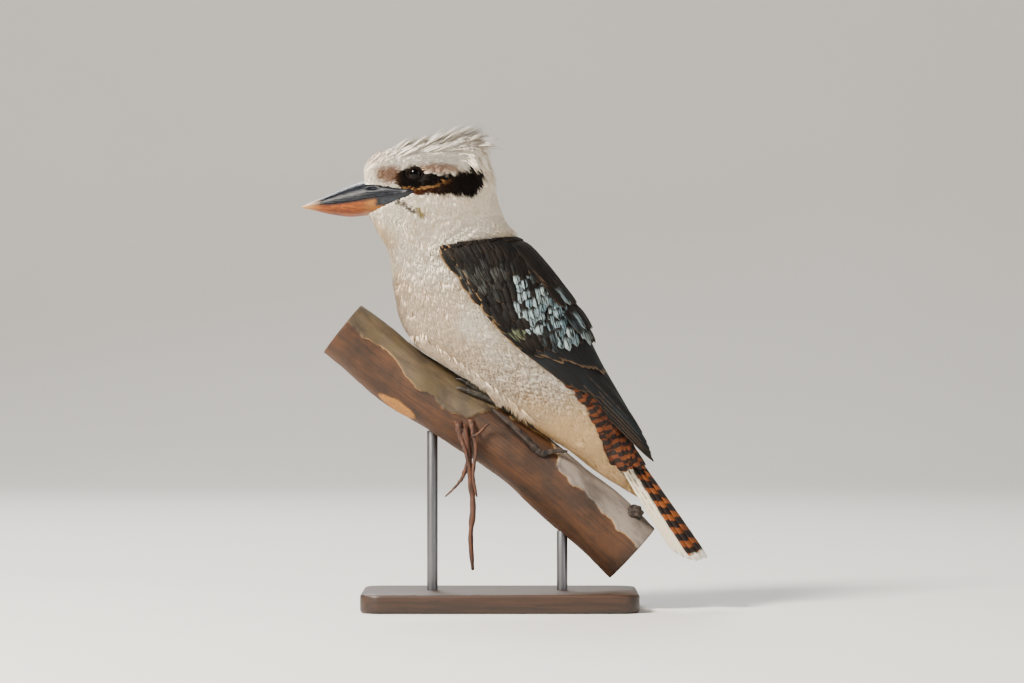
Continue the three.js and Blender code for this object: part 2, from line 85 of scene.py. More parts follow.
# The branch's middle line, x and z
BRANCH_LINE = [(-117, 207), (-74, 173), (-30, 144), (0, 124.5), (37, 95), (74, 63.5), (98, 41.5)]
BRANCH_RADIUS = 23.5


def between_rows(rows, s):
    """Smooth values between rows of numbers, at fractional rows."""
    s = np.asarray(s, float)
    inside = np.clip(s, 0, len(rows) - 1)
    i = np.clip(np.floor(inside).astype(int), 0, len(rows) - 2)
    t = (inside - i)[..., None]
    p0, p1, p2, p3 = (rows[np.clip(i + k, 0, len(rows) - 1)] for k in (-1, 0, 1, 2))
    smooth = 2 * p1 + (p2 - p0) * t
    smooth = smooth + (2 * p0 - 5 * p1 + 4 * p2 - p3) * t**2
    smooth = smooth + (3 * p1 - p0 - 3 * p2 + p3) * t**3
    beyond = (s - inside)[..., None] * (rows[-1] - rows[-2])
    beyond[..., -1] = 0
    return smooth / 2 + beyond


def slice_point(rows, roundness, s, turn, lift):
    """A point on a sliced form: turn runs from the back (0) by the left side (90) to the keel."""
    bx, bz, kx, kz, half = np.moveaxis(between_rows(rows, s), -1, 0)
    c, q = np.cos(np.radians(turn)), np.sin(np.radians(turn))
    ux, uz = (bx - kx) / 2, (bz - kz) / 2
    depth = np.hypot(ux, uz)
    out = np.stack([ux / depth * c / depth, -q / half, uz / depth * c / depth], -1)
    out /= np.linalg.norm(out, axis=-1, keepdims=True)
    round_c = np.sign(c) * np.abs(c) ** roundness
    round_q = np.sign(q) * np.abs(q) ** roundness
    x = (bx + kx) / 2 + ux * round_c
    z = (bz + kz) / 2 + uz * round_c
    place = np.stack([x, -half * round_q, z], -1)
    return place + out * np.asarray(lift, float)[..., None]


def body_point(s, turn, lift=0.0):
    """A point on the body, lift millimetres out from it."""
    return slice_point(BODY_ROWS, 0.92, s, turn, lift)


def wing_point(side):
    """The wing's skin on one side: s runs down the wing and turn goes down from the back."""
    def place(s, turn, lift=0.0):
        p = slice_point(WING_ROWS, 1.0, s, turn, lift)
        return p * np.array([1, side, 1])
    return place


TAIL_ROOT = np.array([73, 0, 154.5])
TAIL_SLOPE = math.radians(55)
TAIL_ROLL = math.radians(7)
TAIL_ARCH = 19.0
TAIL_LENGTH = 141.0
tail_along = np.array([math.cos(TAIL_SLOPE), 0, -math.sin(TAIL_SLOPE)])
tail_side = np.array([0.0, -1.0, 0.0])
tail_across = tail_side * math.cos(TAIL_ROLL) + np.cross(tail_along, tail_side) * math.sin(TAIL_ROLL)
tail_up = -np.cross(tail_along, tail_across)


def tail_point(along, across, lift=0.0):
    """A point in the tail's frame: along it, across it, and above it."""
    a = np.asarray(across, float) / TAIL_ARCH
    r = TAIL_ARCH + np.asarray(lift, float)
    return (
        TAIL_ROOT
        + np.asarray(along, float)[..., None] * tail_along
        + (r * np.sin(a))[..., None] * tail_across
        + (r * np.cos(a) - TAIL_ARCH)[..., None] * tail_up
    )


def branch_course():
    """Points and directions close together along the branch's middle line, and the length so far."""
    knots = np.array(BRANCH_LINE, float)
    knots = np.vstack([2 * knots[0] - knots[1], knots, 2 * knots[-1] - knots[-2]])
    gaps = np.linalg.norm(np.diff(knots, axis=0), axis=1) ** 0.5
    points = []
    for i in range(1, len(knots) - 2):
        p0, p1, p2, p3 = knots[i - 1:i + 3]
        d0, d1, d2 = gaps[i - 1:i + 2]
        m1 = ((p1 - p0) / d0 - (p2 - p0) / (d0 + d1) + (p2 - p1) / d1) * d1
        m2 = ((p2 - p1) / d1 - (p3 - p1) / (d1 + d2) + (p3 - p2) / d2) * d1
        t = np.linspace(0, 1, 60, endpoint=i == len(knots) - 3)[:, None]
        points.append(
            (2 * t**3 - 3 * t**2 + 1) * p1 + (t**3 - 2 * t**2 + t) * m1
            + (3 * t**2 - 2 * t**3) * p2 + (t**3 - t**2) * m2
        )
    points = np.vstack(points)
    length = np.concatenate([[0], np.cumsum(np.linalg.norm(np.diff(points, axis=0), axis=1))])
    return points, length


branch_points, branch_lengths = branch_course()
BRANCH_TOTAL = branch_lengths[-1]


def branch_point(t, turn, lift=0.0):
    """A point on the branch: t from its upper end to its lower end, turn from the top by the left side."""
    at = np.asarray(t, float) * BRANCH_TOTAL
    x, z = (np.interp(at, branch_lengths, branch_points[:, k]) for k in (0, 1))
    ahead, behind = (np.clip(at + d, 0, BRANCH_TOTAL) for d in (3, -3))
    dx, dz = (
        np.interp(ahead, branch_lengths, points) - np.interp(behind, branch_lengths, points)
        for points in branch_points.T
    )
    long = np.hypot(dx, dz)
    c, q = np.cos(np.radians(turn)), np.sin(np.radians(turn))
    lump = 1 + 0.035 * np.sin(9 * np.asarray(t) + 2 * np.radians(turn))
    lump = lump + 0.025 * np.sin(23 * np.asarray(t) - 3 * np.radians(turn))
    r = BRANCH_RADIUS * lump * (0.97 + 0.08 * np.asarray(t)) + lift
    return np.stack([x - dz / long * r * c, -r * q, z + dx / long * r * c], -1)


# Shader words

def colour(code):
    """A colour from its web code, as linear values."""
    parts = [int(code[i:i + 2], 16) / 255 for i in (1, 3, 5)]
    return [p / 12.92 if p <= 0.04045 else ((p + 0.055) / 1.055) ** 2.4 for p in parts] + [1]


class Wire:
    """A number that runs through a material, written with ordinary sums."""

    def __init__(self, paint, socket):
        self.paint, self.socket = paint, socket

    def sum(self, what, *values):
        return self.paint.node("Math", {"operation": what}, dict(enumerate(values)))

    def __add__(self, other):
        return self.sum("ADD", self, other)

    def __radd__(self, other):
        return self.sum("ADD", other, self)

    def __sub__(self, other):
        return self.sum("SUBTRACT", self, other)

    def __rsub__(self, other):
        return self.sum("SUBTRACT", other, self)

    def __mul__(self, other):
        return self.sum("MULTIPLY", self, other)

    def __rmul__(self, other):
        return self.sum("MULTIPLY", other, self)

    def __truediv__(self, other):
        return self.sum("DIVIDE", self, other)

    def __pow__(self, other):
        return self.sum("POWER", self, other)

    def abs(self):
        return self.sum("ABSOLUTE", self)

    def sin(self):
        return self.sum("SINE", self)

    def most(self, other):
        return self.sum("MAXIMUM", self, other)

    def rise(self, low, high):
        """0 below low, 1 above high and smooth between them. It falls where high is the lower."""
        settings = {"interpolation_type": "SMOOTHSTEP"}
        if low <= high:
            return self.paint.node("MapRange", settings, {0: self, 1: low, 2: high})
        return 1 - self.paint.node("MapRange", settings, {0: self, 1: high, 2: low})

    def table(self, pairs):
        """Straight steps between pairs of a value and its result."""
        total = pairs[0][1]
        for (x0, y0), (x1, y1) in zip(pairs, pairs[1:]):
            total = total + self.paint.node("MapRange", {}, {0: self, 1: x0, 2: x1, 3: 0.0, 4: y1 - y0})
        return total


class Paint:
    """A material and the few words that its nodes are made with."""

    def __init__(self, name):
        self.material = bpy.data.materials.new(name)
        self.material.use_nodes = True
        self.tree = self.material.node_tree
        self.shader = self.tree.nodes["Principled BSDF"]
        self.base = None
        self.object = self.node("TexCoord", {}, {}, "Object")

    def node(self, kind, settings, values, out=0):
        """Any node: its settings first, then the values or wires of its sockets."""
        made = self.tree.nodes.new("ShaderNode" + kind)
        for key, value in settings.items():
            setattr(made, key, value)
        for key, value in values.items():
            self.feed(made.inputs[key], colour(value) if isinstance(value, str) else value)
        return Wire(self, made.outputs[out])

    def feed(self, socket, value):
        """Gives a socket a wire or a fixed value."""
        if isinstance(value, Wire):
            self.tree.links.new(value.socket, socket)
        else:
            socket.default_value = value

    def mix(self, share, a, b):
        return self.node("Mix", {"data_type": "RGBA"}, {0: share, 6: a, 7: b}, 2)

    def lay(self, share, shade):
        """Lays a colour over the paint so far, by a share of 0 to 1."""
        self.base = self.mix(share, self.base, shade)

    def own(self, name):
        return self.node("Attribute", {"attribute_name": name}, {}, "Vector")

    def parts(self, vector):
        split = self.node("SeparateXYZ", {}, {0: vector})
        return [Wire(self, s) for s in split.socket.node.outputs]

    def millimetres(self, vector):
        return self.parts(self.scaled(vector, 1000, 1000, 1000))

    def join(self, x, y, z=0.0):
        return self.node("CombineXYZ", {}, {0: x, 1: y, 2: z})

    def scaled(self, vector, x, y, z):
        return self.node("VectorMath", {"operation": "MULTIPLY"}, {0: vector, 1: (x, y, z)})

    def noise(self, vector, scale, detail=3.0, rough=0.5):
        values = {"Vector": vector, "Scale": scale, "Detail": detail, "Roughness": rough}
        return self.node("TexNoise", {}, values)

    def grain(self, stretch, detail, rough=0.5):
        """Noise that is stretched along the piece's own axes."""
        return self.noise(self.scaled(self.object, *stretch), 1.0, detail, rough)

    def cells(self, vector, scale):
        return self.node("TexVoronoi", {}, {"Vector": vector, "Scale": scale}, "Distance")

    def bump(self, height, depth, strength):
        made = self.node("Bump", {}, {"Height": height, "Distance": depth, "Strength": strength})
        self.tree.links.new(made.socket, self.shader.inputs["Normal"])

    def set(self, **values):
        """Sets the shader's base colour and its other sockets, and gives the material."""
        self.feed(self.shader.inputs["Base Color"], self.base)
        for key, value in values.items():
            self.feed(self.shader.inputs[key.replace("_", " ")], value)
        return self.material


# Materials

def plumage():
    """The body's feathers and the skin under them: every marking is read at the feather's middle."""
    p = Paint("body plumage")
    seat = p.own("seat")
    x, _, z = p.millimetres(seat)
    down, fold, tint = p.parts(p.own("lie"))
    s, fold = down * BODY_LAST, fold * 180
    _, along, _ = p.parts(p.own("Vane"))
    ragged = p.noise(seat, 260, 2) - 0.5
    soft = p.noise(seat, 45, 2) - 0.5

    # White or cream from feather to feather, and darker down at the roots: partly the greyer down there,
    # partly painted shade between the feathers
    p.base = p.mix((soft + tint * 0.6).rise(0.1, 0.65) * 0.75, "#fff4e1", "#f3dfbf")
    warm = s.rise(1.0, 3.0) * s.rise(6.6, 4.5) * fold.rise(128, 160)
    p.lay(warm * 0.7, "#eccb9a")
    side_warm = (s + soft * 2).rise(6.8, 8.0) * (s + soft * 2).rise(10.6, 9.4)
    p.lay(side_warm * (fold + soft * 40).rise(96, 120) * 0.4, "#e2b98a")
    # Painted shade at the feather roots, between the feathers
    p.lay(along.rise(0.45, 0.0) * 0.22, "#c4aa8a")

    # Grey-brown scallops at the tips, faint on the breast and strong on the rear flank
    chest = s.rise(6.0, 7.6) * (s + soft * 2).rise(11.6, 10.4)
    flank = (s + soft).rise(8.9, 10.2) * fold.rise(168, 112)
    tips = (along + ragged * 0.06).rise(0.84, 0.93)
    p.lay(tips * chest * (0.2 + flank * 0.8 + tint * 0.12), "#6a4d35")
    neck = s.rise(4.6, 6.0) * s.rise(8.0, 7.0) * fold.rise(150, 110)
    p.lay(tips * neck * tint * 0.4, "#8a755f")

    # Warm cream under the tail
    p.lay((s + soft).rise(9.9, 11.2) * fold.rise(58, 70) * 0.9, "#edc48b")

    # The crown: white with fine brown streaks, warmer on the forehead and behind, and laid whiter than the
    # rest, partly its white feathers and partly painted sunlight on the top of the head
    crown = (z + ragged * 5).rise(324, 332) * s.rise(6.6, 5.8)
    streak = p.noise(p.join(down * 3, fold / 5, 0.0), 9, 3).rise(0.5, 0.64)
    # Painted sunlight on the crown, laid over the painted shade at the roots
    p.lay(crown * 0.7, "#fffaf0")
    p.lay(crown * streak * 0.16, "#8d6d4e")
    p.lay(crown * (x + soft * 20).rise(-72, -96) * 0.35, "#d3a671")
    p.lay(crown * (x + soft * 20).rise(-34, -14) * 0.14, "#d9b384")

    # The rufous haze before the eye, and tan over the stripe
    haze = (1 - ((x + 82) / 13) ** 2 - ((z - 321) / 8.5) ** 2 + ragged * 0.9).rise(0, 0.8)
    p.lay(haze * 0.85, "#6e3a16")
    brow = (1 - ((x + 46) / 24) ** 2 - ((z - 325.5) / 4.5) ** 2 + ragged).rise(0, 0.8)
    p.lay(brow * 0.75, "#81491c")

    # The dark stripe through the eye, with a rufous lower band and a thin buff line over that
    wave = ragged * 2.2
    top = x.table([
        (-80, 319), (-74, 323), (-68, 326), (-57, 326), (-53.5, 322), (-48, 320.8),
        (-42, 320.3), (-34, 321.3), (-29, 324), (-24, 326), (-18, 326.4), (-13.5, 323.5), (-11.5, 318),
    ])
    low = x.table([
        (-80, 317), (-76, 313), (-72, 306.4), (-64, 305.8), (-55, 305.6), (-46, 305.6),
        (-37, 305.8), (-30, 305.6), (-24, 305), (-19, 304.4), (-16.5, 307.5), (-13.5, 312), (-11.5, 317),
    ])
    stripe = (z - low + wave).rise(-0.6, 0.8) * (top - z + wave).rise(-0.8, 0.6)
    stripe = stripe * (x + wave).rise(-80, -77) * (x + wave).rise(-11, -13)
    line = x.table([(-72, 311.0), (-59, 310.2), (-51, 311.4), (-44, 313.6), (-39, 316.4), (-34, 318.6)])
    below = (line - z + wave * 0.4).rise(0, 1.2) * x.rise(-30, -40)
    dark = p.mix(ragged.rise(-0.2, 0.2), "#090706", "#1a110d")
    dark = p.mix(below * 0.9, dark, p.mix(x.rise(-70, -42), "#5c3016", "#24150d"))
    dark = p.mix(x.rise(-72, -79) * 0.7, dark, "#5d3a22")
    p.lay(stripe, dark)
    buff = (1 - ((z - line + wave * 0.3) / 1.0).abs()).rise(0, 0.5) * x.rise(-73, -70) * x.rise(-32, -37)
    p.lay(buff * 0.8, p.mix(x.rise(-60, -38), "#b98a56", "#7d5730"))

    # The thin dark line behind the gape, and its yellow end
    fall = x.table([(-76, 300.5), (-71, 297.8), (-65, 294.4), (-57, 291.4)])
    malar = (1 - ((z - fall + wave * 0.3) / 2.2).abs()).rise(0, 0.5) * x.rise(-79, -76) * x.rise(-55, -58)
    p.lay(malar * 0.85, "#33261d")
    fleck = (1 - ((x + 57) / 4.2) ** 2 - ((z - 291.4) / 2.4) ** 2).rise(0, 0.5)
    p.lay(fleck * 0.8, "#a38f55")

    # The dark mantle and the rufous rump
    mantle = (s + ragged * 0.5).rise(7.45, 7.65) * (fold + ragged * 12).rise(62, 54)
    back = p.mix(p.noise(seat, 120).rise(0.4, 0.65), "#0c0a09", "#221913")
    back = p.mix(along.rise(0.8, 1) * 0.5, back, "#4b3a2c")
    p.lay(mantle, back)
    rump = (s + soft).rise(10.1, 10.4) * (fold + ragged * 14).rise(60, 50)
    p.lay(rump, "#5a3119")

    p.bump(p.noise(p.object, 900, 2), 0.0002, 0.4)
    return p.set(Roughness=0.8, Specular_IOR_Level=0.12)


def barbs(across, along):
    """The height of a vane's barbs, which run outwards and towards the tip from the shaft."""
    side = (across - 0.5).abs()
    comb = ((along * 260 - side * 150).sin() + 1) * 0.5
    shaft = side.rise(0.06, 0.0)
    return comb * 0.35 + shaft


# The blue patch on the wing: its middle, its half length and width, and the cosine and sine of its slant
PATCH_X, PATCH_Z = 35.5, 215.3
PATCH_LONG, PATCH_WIDE = 36, 16.5
PATCH_COS, PATCH_SIN = 0.738, 0.675


def coverts_paint():
    """Blackish-brown wing coverts with the pale blue patch and brown fringes."""
    p = Paint("wing coverts")
    x, _, z = p.millimetres(p.own("seat"))
    _, fold, tint = p.parts(p.own("lie"))
    across, along, _ = p.parts(p.own("Vane"))
    turn = fold * 90
    side = (across - 0.5).abs() * 2
    grain = p.noise(p.object, 420, 3) - 0.5
    p.base = p.mix(p.noise(p.object, 90, 3).rise(0.35, 0.7), "#070605", "#18110c")
    rim = (side * 0.8 + along.rise(0.55, 1) * 0.45 + grain * 0.5).rise(0.8, 1.15)
    p.lay(rim * (0.3 + tint * 0.45), "#5f4a35")

    # Blue tips in a slanting patch, fainter and greyer near the shoulder
    run = ((x - PATCH_X) * PATCH_COS - (z - PATCH_Z) * PATCH_SIN) / PATCH_LONG
    rise = ((x - PATCH_X) * PATCH_SIN + (z - PATCH_Z) * PATCH_COS) / PATCH_WIDE
    patch = (1 - run**2 - rise**2 + (tint - 0.5) * 1.35).rise(0.0, 0.35)
    faint = (1 - ((x + 12) / 22) ** 2 - ((z - 243) / 11) ** 2 + (tint - 0.5) * 2.4).rise(0.1, 0.8)
    low = (1 - ((x - 18) / 8) ** 2 - ((z - 201) / 6) ** 2).rise(0.2, 0.6)
    far = (1 - ((x - 65) / 5) ** 2 - ((z - 200) / 6) ** 2).rise(0.1, 0.5)
    shaft = (side + grain * 0.15).rise(0.05, 0.16)
    blot = (along + grain * 0.3).rise(0.36, 0.6) * (side + grain * 0.4).rise(1.02, 0.8) * shaft
    split = p.noise(p.join(across * 7, along * 2, tint * 40), 1.0, 2).rise(0.38, 0.54)
    pale = p.mix(tint, "#6b8791", "#a5b6b8")
    pale = p.mix((grain + 0.5).rise(0.5, 0.75) * 0.5, pale, "#466a76")
    p.lay(blot * split * patch * 0.92, pale)
    p.lay(blot * split * (faint * 0.24).most(far * 0.6), "#6a6f6a")
    p.lay(blot * split * low * 0.6, "#7f8868")

    # The buff front edge
    front = (turn + grain * 2).rise(86, 88) * (across + grain * 0.3).rise(0.78, 0.9)
    p.lay(front * 0.6, "#97774f")
    p.bump(barbs(across, along), 0.00025, 0.5)
    return p.set(Roughness=0.62, Specular_IOR_Level=0.16)


def flight_paint():
    """The long wing feathers: blackish with a dark blue sheen and narrow brown edges."""
    p = Paint("wing flight feathers")
    across, along, _ = p.parts(p.own("Vane"))
    down, _, tint = p.parts(p.own("lie"))
    side = (across - 0.5).abs() * 2
    grain = p.noise(p.object, 380, 3) - 0.5
    blue = p.mix(p.noise(p.object, 60, 2).rise(0.35, 0.7), "#0f1418", "#1c2a2f")
    p.base = p.mix(tint.rise(0.2, 0.9) * 0.5 + side * 0.2, "#100d0c", blue)
    p.lay((side + grain * 0.3).rise(0.86, 1.0) * 0.55, "#6a5038")
    tip = (along + side * 0.06 + grain * 0.06).rise(0.965, 1.0) * down.rise(0.40, 0.36)
    p.lay(tip * (0.25 + tint * 0.3), "#8a6f50")
    p.bump(barbs(across, along), 0.0003, 0.6)
    return p.set(Roughness=0.52, Specular_IOR_Level=0.22)


def tail_paint():
    """Rufous tail feathers with black bars, the outer ones whiter and tipped white."""
    p = Paint("tail feathers")
    across, along, _ = p.parts(p.own("Vane"))
    _, outer, tint = p.parts(p.own("lie"))
    side = (across - 0.5).abs() * 2
    grain = p.noise(p.object, 300, 3) - 0.5
    wave = along * 118 + side * 3.4 + outer * 30 + tint * 8 + grain * 4
    bars = ((wave * 0.52).sin() + grain * 0.6).rise(-0.45, 0.0)
    p.base = p.mix(p.noise(p.object, 80).rise(0.3, 0.7), "#5c2d0f", "#86481b")
    white = (outer + grain * 0.1).rise(0.45, 0.55)
    p.lay(white, p.mix(side, "#eee7da", "#e0cfae"))
    spots = (side + grain * 0.5).rise(0.75, 0.3) * along.rise(0.8, 0.5)
    p.lay(bars * (1 - white * (1 - spots * 0.8)) * 0.97, "#120c0a")
    tip = (along + grain * 0.05).rise(0.93, 0.955)
    p.lay(tip, "#efe8dc")
    p.bump(barbs(across, along), 0.0003, 0.6)
    return p.set(Roughness=0.6, Specular_IOR_Level=0.3)


def rump_paint():
    """The upper tail coverts: rufous with wavy black bars."""
    p = Paint("upper tail coverts")
    x, _, z = p.millimetres(p.object)
    across, along, _ = p.parts(p.own("Vane"))
    _, _, tint = p.parts(p.own("lie"))
    side = (across - 0.5).abs() * 2
    grain = p.noise(p.object, 300, 3) - 0.5
    wave = x * 0.574 - z * 0.819 + side * 1.6 + tint * 3.4 + grain * 3
    bars = (wave * 0.92).sin().rise(-0.4, 0.2)
    p.base = p.mix(p.noise(p.object, 80).rise(0.3, 0.7), "#4d240b", "#753c17")
    p.lay(bars * 0.95, "#120c0a")
    p.bump(barbs(across, along), 0.0003, 0.6)
    return p.set(Roughness=0.65, Specular_IOR_Level=0.3)


def horn_upper_paint():
    """Blue-black horn with a painted highlight along the ridge and a worn, pale tip."""
    p = Paint("upper bill horn")
    x, y, _ = p.millimetres(p.object)
    long = p.grain((60, 900, 900), 3)
    p.base = p.mix(long.rise(0.35, 0.7), "#05070b", "#10151f")
    p.lay((x + (long - 0.5) * 8).rise(-130, -145) * 0.9, "#c7a27c")
    # Painted highlight: a paler band along the ridge of the upper bill
    ridge = (1 - (y / 2.6).abs()).rise(0, 1) * x.rise(-134, -126)
    p.lay(ridge * 0.3, "#4a505c")
    p.bump(long, 0.0004, 0.35)
    return p.set(Roughness=0.3 + long * 0.14, Specular_IOR_Level=0.13)


def horn_lower_paint():
    """Orange-brown horn with red-brown flecks, blue-black at the base and along the cutting edge."""
    p = Paint("lower bill horn")
    x, _, z = p.millimetres(p.object)
    long = p.grain((80, 700, 700), 3)
    spots = p.noise(p.object, 260, 3)
    p.base = p.mix(long.rise(0.3, 0.7), "#5e2807", "#8a4812")
    p.lay(spots.rise(0.54, 0.66) * x.rise(-142, -120) * 0.75, "#6a2814")
    p.lay(x.rise(-130, -146) * 0.8, "#bd8a50")
    p.lay(x.rise(-104, -94) * 0.45, "#9c7034")
    edge = x.table([(-96, 301), (-91, 297.8), (-80, 298.6), (-70, 299.6)])
    dark = (z - edge + (spots - 0.5) * 3).rise(-0.8, 0.8) * (x + (spots - 0.5) * 6).rise(-95, -89)
    p.lay(dark, p.mix(long.rise(0.3, 0.7), "#0c0e13", "#23272f"))
    rim = (z - x.table([(-146, 297.6), (-126, 299), (-98, 302.4), (-84, 304.6)])).rise(-1.8, 0.0)
    p.lay(rim * x.rise(-140, -124) * 0.85, "#11141b")
    p.bump(long, 0.0004, 0.35)
    return p.set(Roughness=0.36 + long * 0.14, Specular_IOR_Level=0.3)


def eye_paint(side):
    """A wet dark brown eye: the pupil and iris are drawn round the point that looks outwards."""
    p = Paint("eye " + side_name(side))
    look = eye_look(side)
    centre = list(eye_centre(side) * MM)
    local = p.node("VectorMath", {"operation": "SUBTRACT"}, {0: p.object, 1: centre})
    unit = p.node("VectorMath", {"operation": "NORMALIZE"}, {0: local})
    facing = p.node("VectorMath", {"operation": "DOT_PRODUCT"}, {0: unit, 1: list(look)}, "Value")
    p.base = p.mix(facing.rise(0.66, 0.74), "#040302", "#100906")
    p.lay(p.noise(p.object, 1500, 2) * facing.rise(0.7, 0.8) * 0.35, "#20120a")
    p.lay(facing.rise(0.86, 0.885), "#010101")
    return p.set(Roughness=0.1, Coat_Weight=0.06, Coat_Roughness=0.04, Specular_IOR_Level=0.1)


def foot_paint():
    """Grey-brown skin in small scutes."""
    p = Paint("foot skin")
    scutes = p.cells(p.object, 420)
    p.base = p.mix(scutes.rise(0.2, 0.7), "#38342a", "#1f1c17")
    p.lay(p.noise(p.object, 200).rise(0.45, 0.7) * 0.5, "#29251e")
    p.bump(scutes, 0.0006, 0.7)
    return p.set(Roughness=0.6)


def claw_paint():
    """Nearly black horn."""
    p = Paint("claw horn")
    grain = p.noise(p.object, 300, 3)
    p.base = p.mix(grain.rise(0.35, 0.7), "#0f0d0c", "#2a2521")
    p.bump(grain, 0.0002, 0.3)
    return p.set(Roughness=0.3 + grain * 0.15)


def lid_paint():
    """The dry dark skin of the lids."""
    p = Paint("eyelid skin")
    grain = p.cells(p.object, 1600)
    p.base = p.mix(grain.rise(0.2, 0.7), "#1a1310", "#0c0908")
    p.bump(grain, 0.0002, 0.5)
    return p.set(Roughness=0.85, Specular_IOR_Level=0.1)


def bark_paint():
    """Smooth grey-brown bark with torn edges over orange-brown wood."""
    p = Paint("gum bark")
    worn, t, fold = p.parts(p.own("bark"))
    runner_bark_and_shade, flake, _ = p.parts(p.own("flakes"))
    long = p.grain((40, 130, 40), 5, 0.6)
    fine = p.noise(p.object, 700, 4, 0.65)
    hairs = p.noise(p.scaled(p.own("course"), 30, 700, 700), 1.0, 4, 0.6)
    grey = p.mix(long.rise(0.35, 0.7), "#3a2f22", "#5a4c38")
    grey = p.mix(hairs.rise(0.5, 0.66) * 0.45, grey, "#2b2117")
    grey = p.mix(p.noise(p.object, 34, 4).rise(0.5, 0.66) * 0.5, grey, "#544525")
    lilac = p.mix(long.rise(0.35, 0.65), "#5e544d", "#867a71")
    grey = p.mix((t + (long - 0.5) * 0.2).rise(0.63, 0.7) * 0.85, grey, lilac)
    wood = p.mix(long.rise(0.3, 0.7), "#2b1705", "#4c2b0d")
    wood = p.mix(hairs.rise(0.45, 0.62) * 0.5, wood, "#1d0f05")
    wood = p.mix(fold.rise(0.78, 0.95) * 0.4, wood, "#633811")
    p.base = p.mix(worn.rise(0.3, 0.7), grey, wood)
    rim = worn.rise(0.05, 0.35) * worn.rise(0.8, 0.5)
    p.lay(rim * 0.7, p.mix(long.rise(0.4, 0.6), "#20130b", "#9b7440"))
    # Painted shade in the sunken channel under the dead runner, over the channel's own dark bark
    p.lay(runner_bark_and_shade * (0.6 + fine * 0.5), "#24160f")
    p.lay(flake, p.mix(fine.rise(0.4, 0.7), "#a8712c", "#7f5222"))
    p.bump(long * 0.3 + fine * 0.3 + hairs * 0.5, 0.0012, 0.5)
    return p.set(Roughness=0.6 + fine * 0.2)


def cut_paint():
    """The sawn ends: pale wood with rings and fine radial cracks."""
    p = Paint("cut wood")
    radial, angle, _ = p.parts(p.own("rings"))
    wobble = p.noise(p.object, 90, 3) - 0.5
    rings = ((radial * 2.6 + wobble * 6).sin() + 1) * 0.5
    p.base = p.mix(rings, "#a97c50", "#c79d6c")
    p.lay(radial.rise(7, 0) * 0.6, "#7b4e2e")
    p.lay(radial.rise(20.5, 22.5), "#4a3527")
    fine = p.noise(p.object, 900, 3)
    p.lay(fine.rise(0.55, 0.75) * 0.35, "#6f4c30")
    crack = p.noise(p.join(angle * 9, radial * 0.05, 0.0), 1.0, 2).rise(0.35, 0.3) * radial.rise(4, 12)
    p.lay(crack * 0.7, "#4a2f1c")
    p.bump(rings * 0.3 + fine * 0.5 - crack, 0.0004, 0.5)
    return p.set(Roughness=0.75)


def strip_paint():
    """Dry brown bark with fibres along it."""
    p = Paint("bark strip")
    long = p.grain((500, 500, 60), 4, 0.6)
    p.base = p.mix(long.rise(0.35, 0.68), "#27140c", "#5a321c")
    p.bump(long, 0.0005, 0.6)
    return p.set(Roughness=0.7)


def twig_paint():
    """Dark dead wood."""
    p = Paint("dead twig")
    long = p.noise(p.object, 260, 4, 0.6)
    p.base = p.mix(long.rise(0.35, 0.68), "#120c09", "#35261b")
    p.bump(long, 0.0008, 0.6)
    return p.set(Roughness=0.75)


def base_paint():
    """Dark oiled wood with the grain along the base."""
    p = Paint("base wood")
    grain = p.grain((7, 160, 160), 5, 0.65)
    pores = p.grain((60, 1400, 1400), 2)
    p.base = p.mix(grain.rise(0.3, 0.7), "#1c110b", "#3d2617")
    p.lay(pores.rise(0.6, 0.72) * 0.6, "#150c08")
    p.bump(grain * 0.5 + pores * 0.5, 0.0003, 0.35)
    return p.set(Roughness=0.42 + grain * 0.15, Coat_Weight=0.1, Coat_Roughness=0.3)


def steel_paint():
    """Brushed steel."""
    p = Paint("rod steel")
    brushed = p.grain((2500, 2500, 40), 3)
    p.base = p.mix(brushed, "#6d6d70", "#8e8e92")
    p.bump(brushed, 0.0001, 0.3)
    return p.set(Metallic=1.0, Roughness=0.28 + brushed * 0.18)


def floor_paint():
    """A pale matt floor."""
    p = Paint("floor")
    p.base = p.mix(p.noise(p.object, 3, 2), "#dedcd8", "#e4e2df")
    return p.set(Roughness=0.9)


# Meshes

def coordinates(mesh):
    """A mesh's points as rows of three."""
    got = np.empty(len(mesh.vertices) * 3)
    mesh.vertices.foreach_get("co", got)
    return got.reshape(-1, 3)


def finish(piece, name, node_names, material, smooth=True):
    """Names a piece and ties it to the frame."""
    piece.name = piece.data.name = name
    piece.data.materials.append(material)
    if smooth:
        piece.data.polygons.foreach_set("use_smooth", [True] * len(piece.data.polygons))
    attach(piece, "root")
    if node_names:
        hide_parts(*node_names)
    return piece


def edit(*steps):
    """Runs edit-mode steps on all of the active piece."""
    bpy.ops.object.mode_set(mode="EDIT")
    bpy.ops.mesh.select_all(action="SELECT")
    for step in steps:
        step()
    bpy.ops.object.mode_set(mode="OBJECT")


def at_ends(v):
    """Where a share is 0 or 1."""
    return (v < 1e-6) | (v > 1 - 1e-6)


def joined(pieces):
    """The pieces as one object, which is the first of them."""
    bpy.ops.object.select_all(action="DESELECT")
    for piece in pieces:
        piece.select_set(True)
    bpy.context.view_layer.objects.active = pieces[0]
    bpy.ops.object.join()
    return pieces[0]


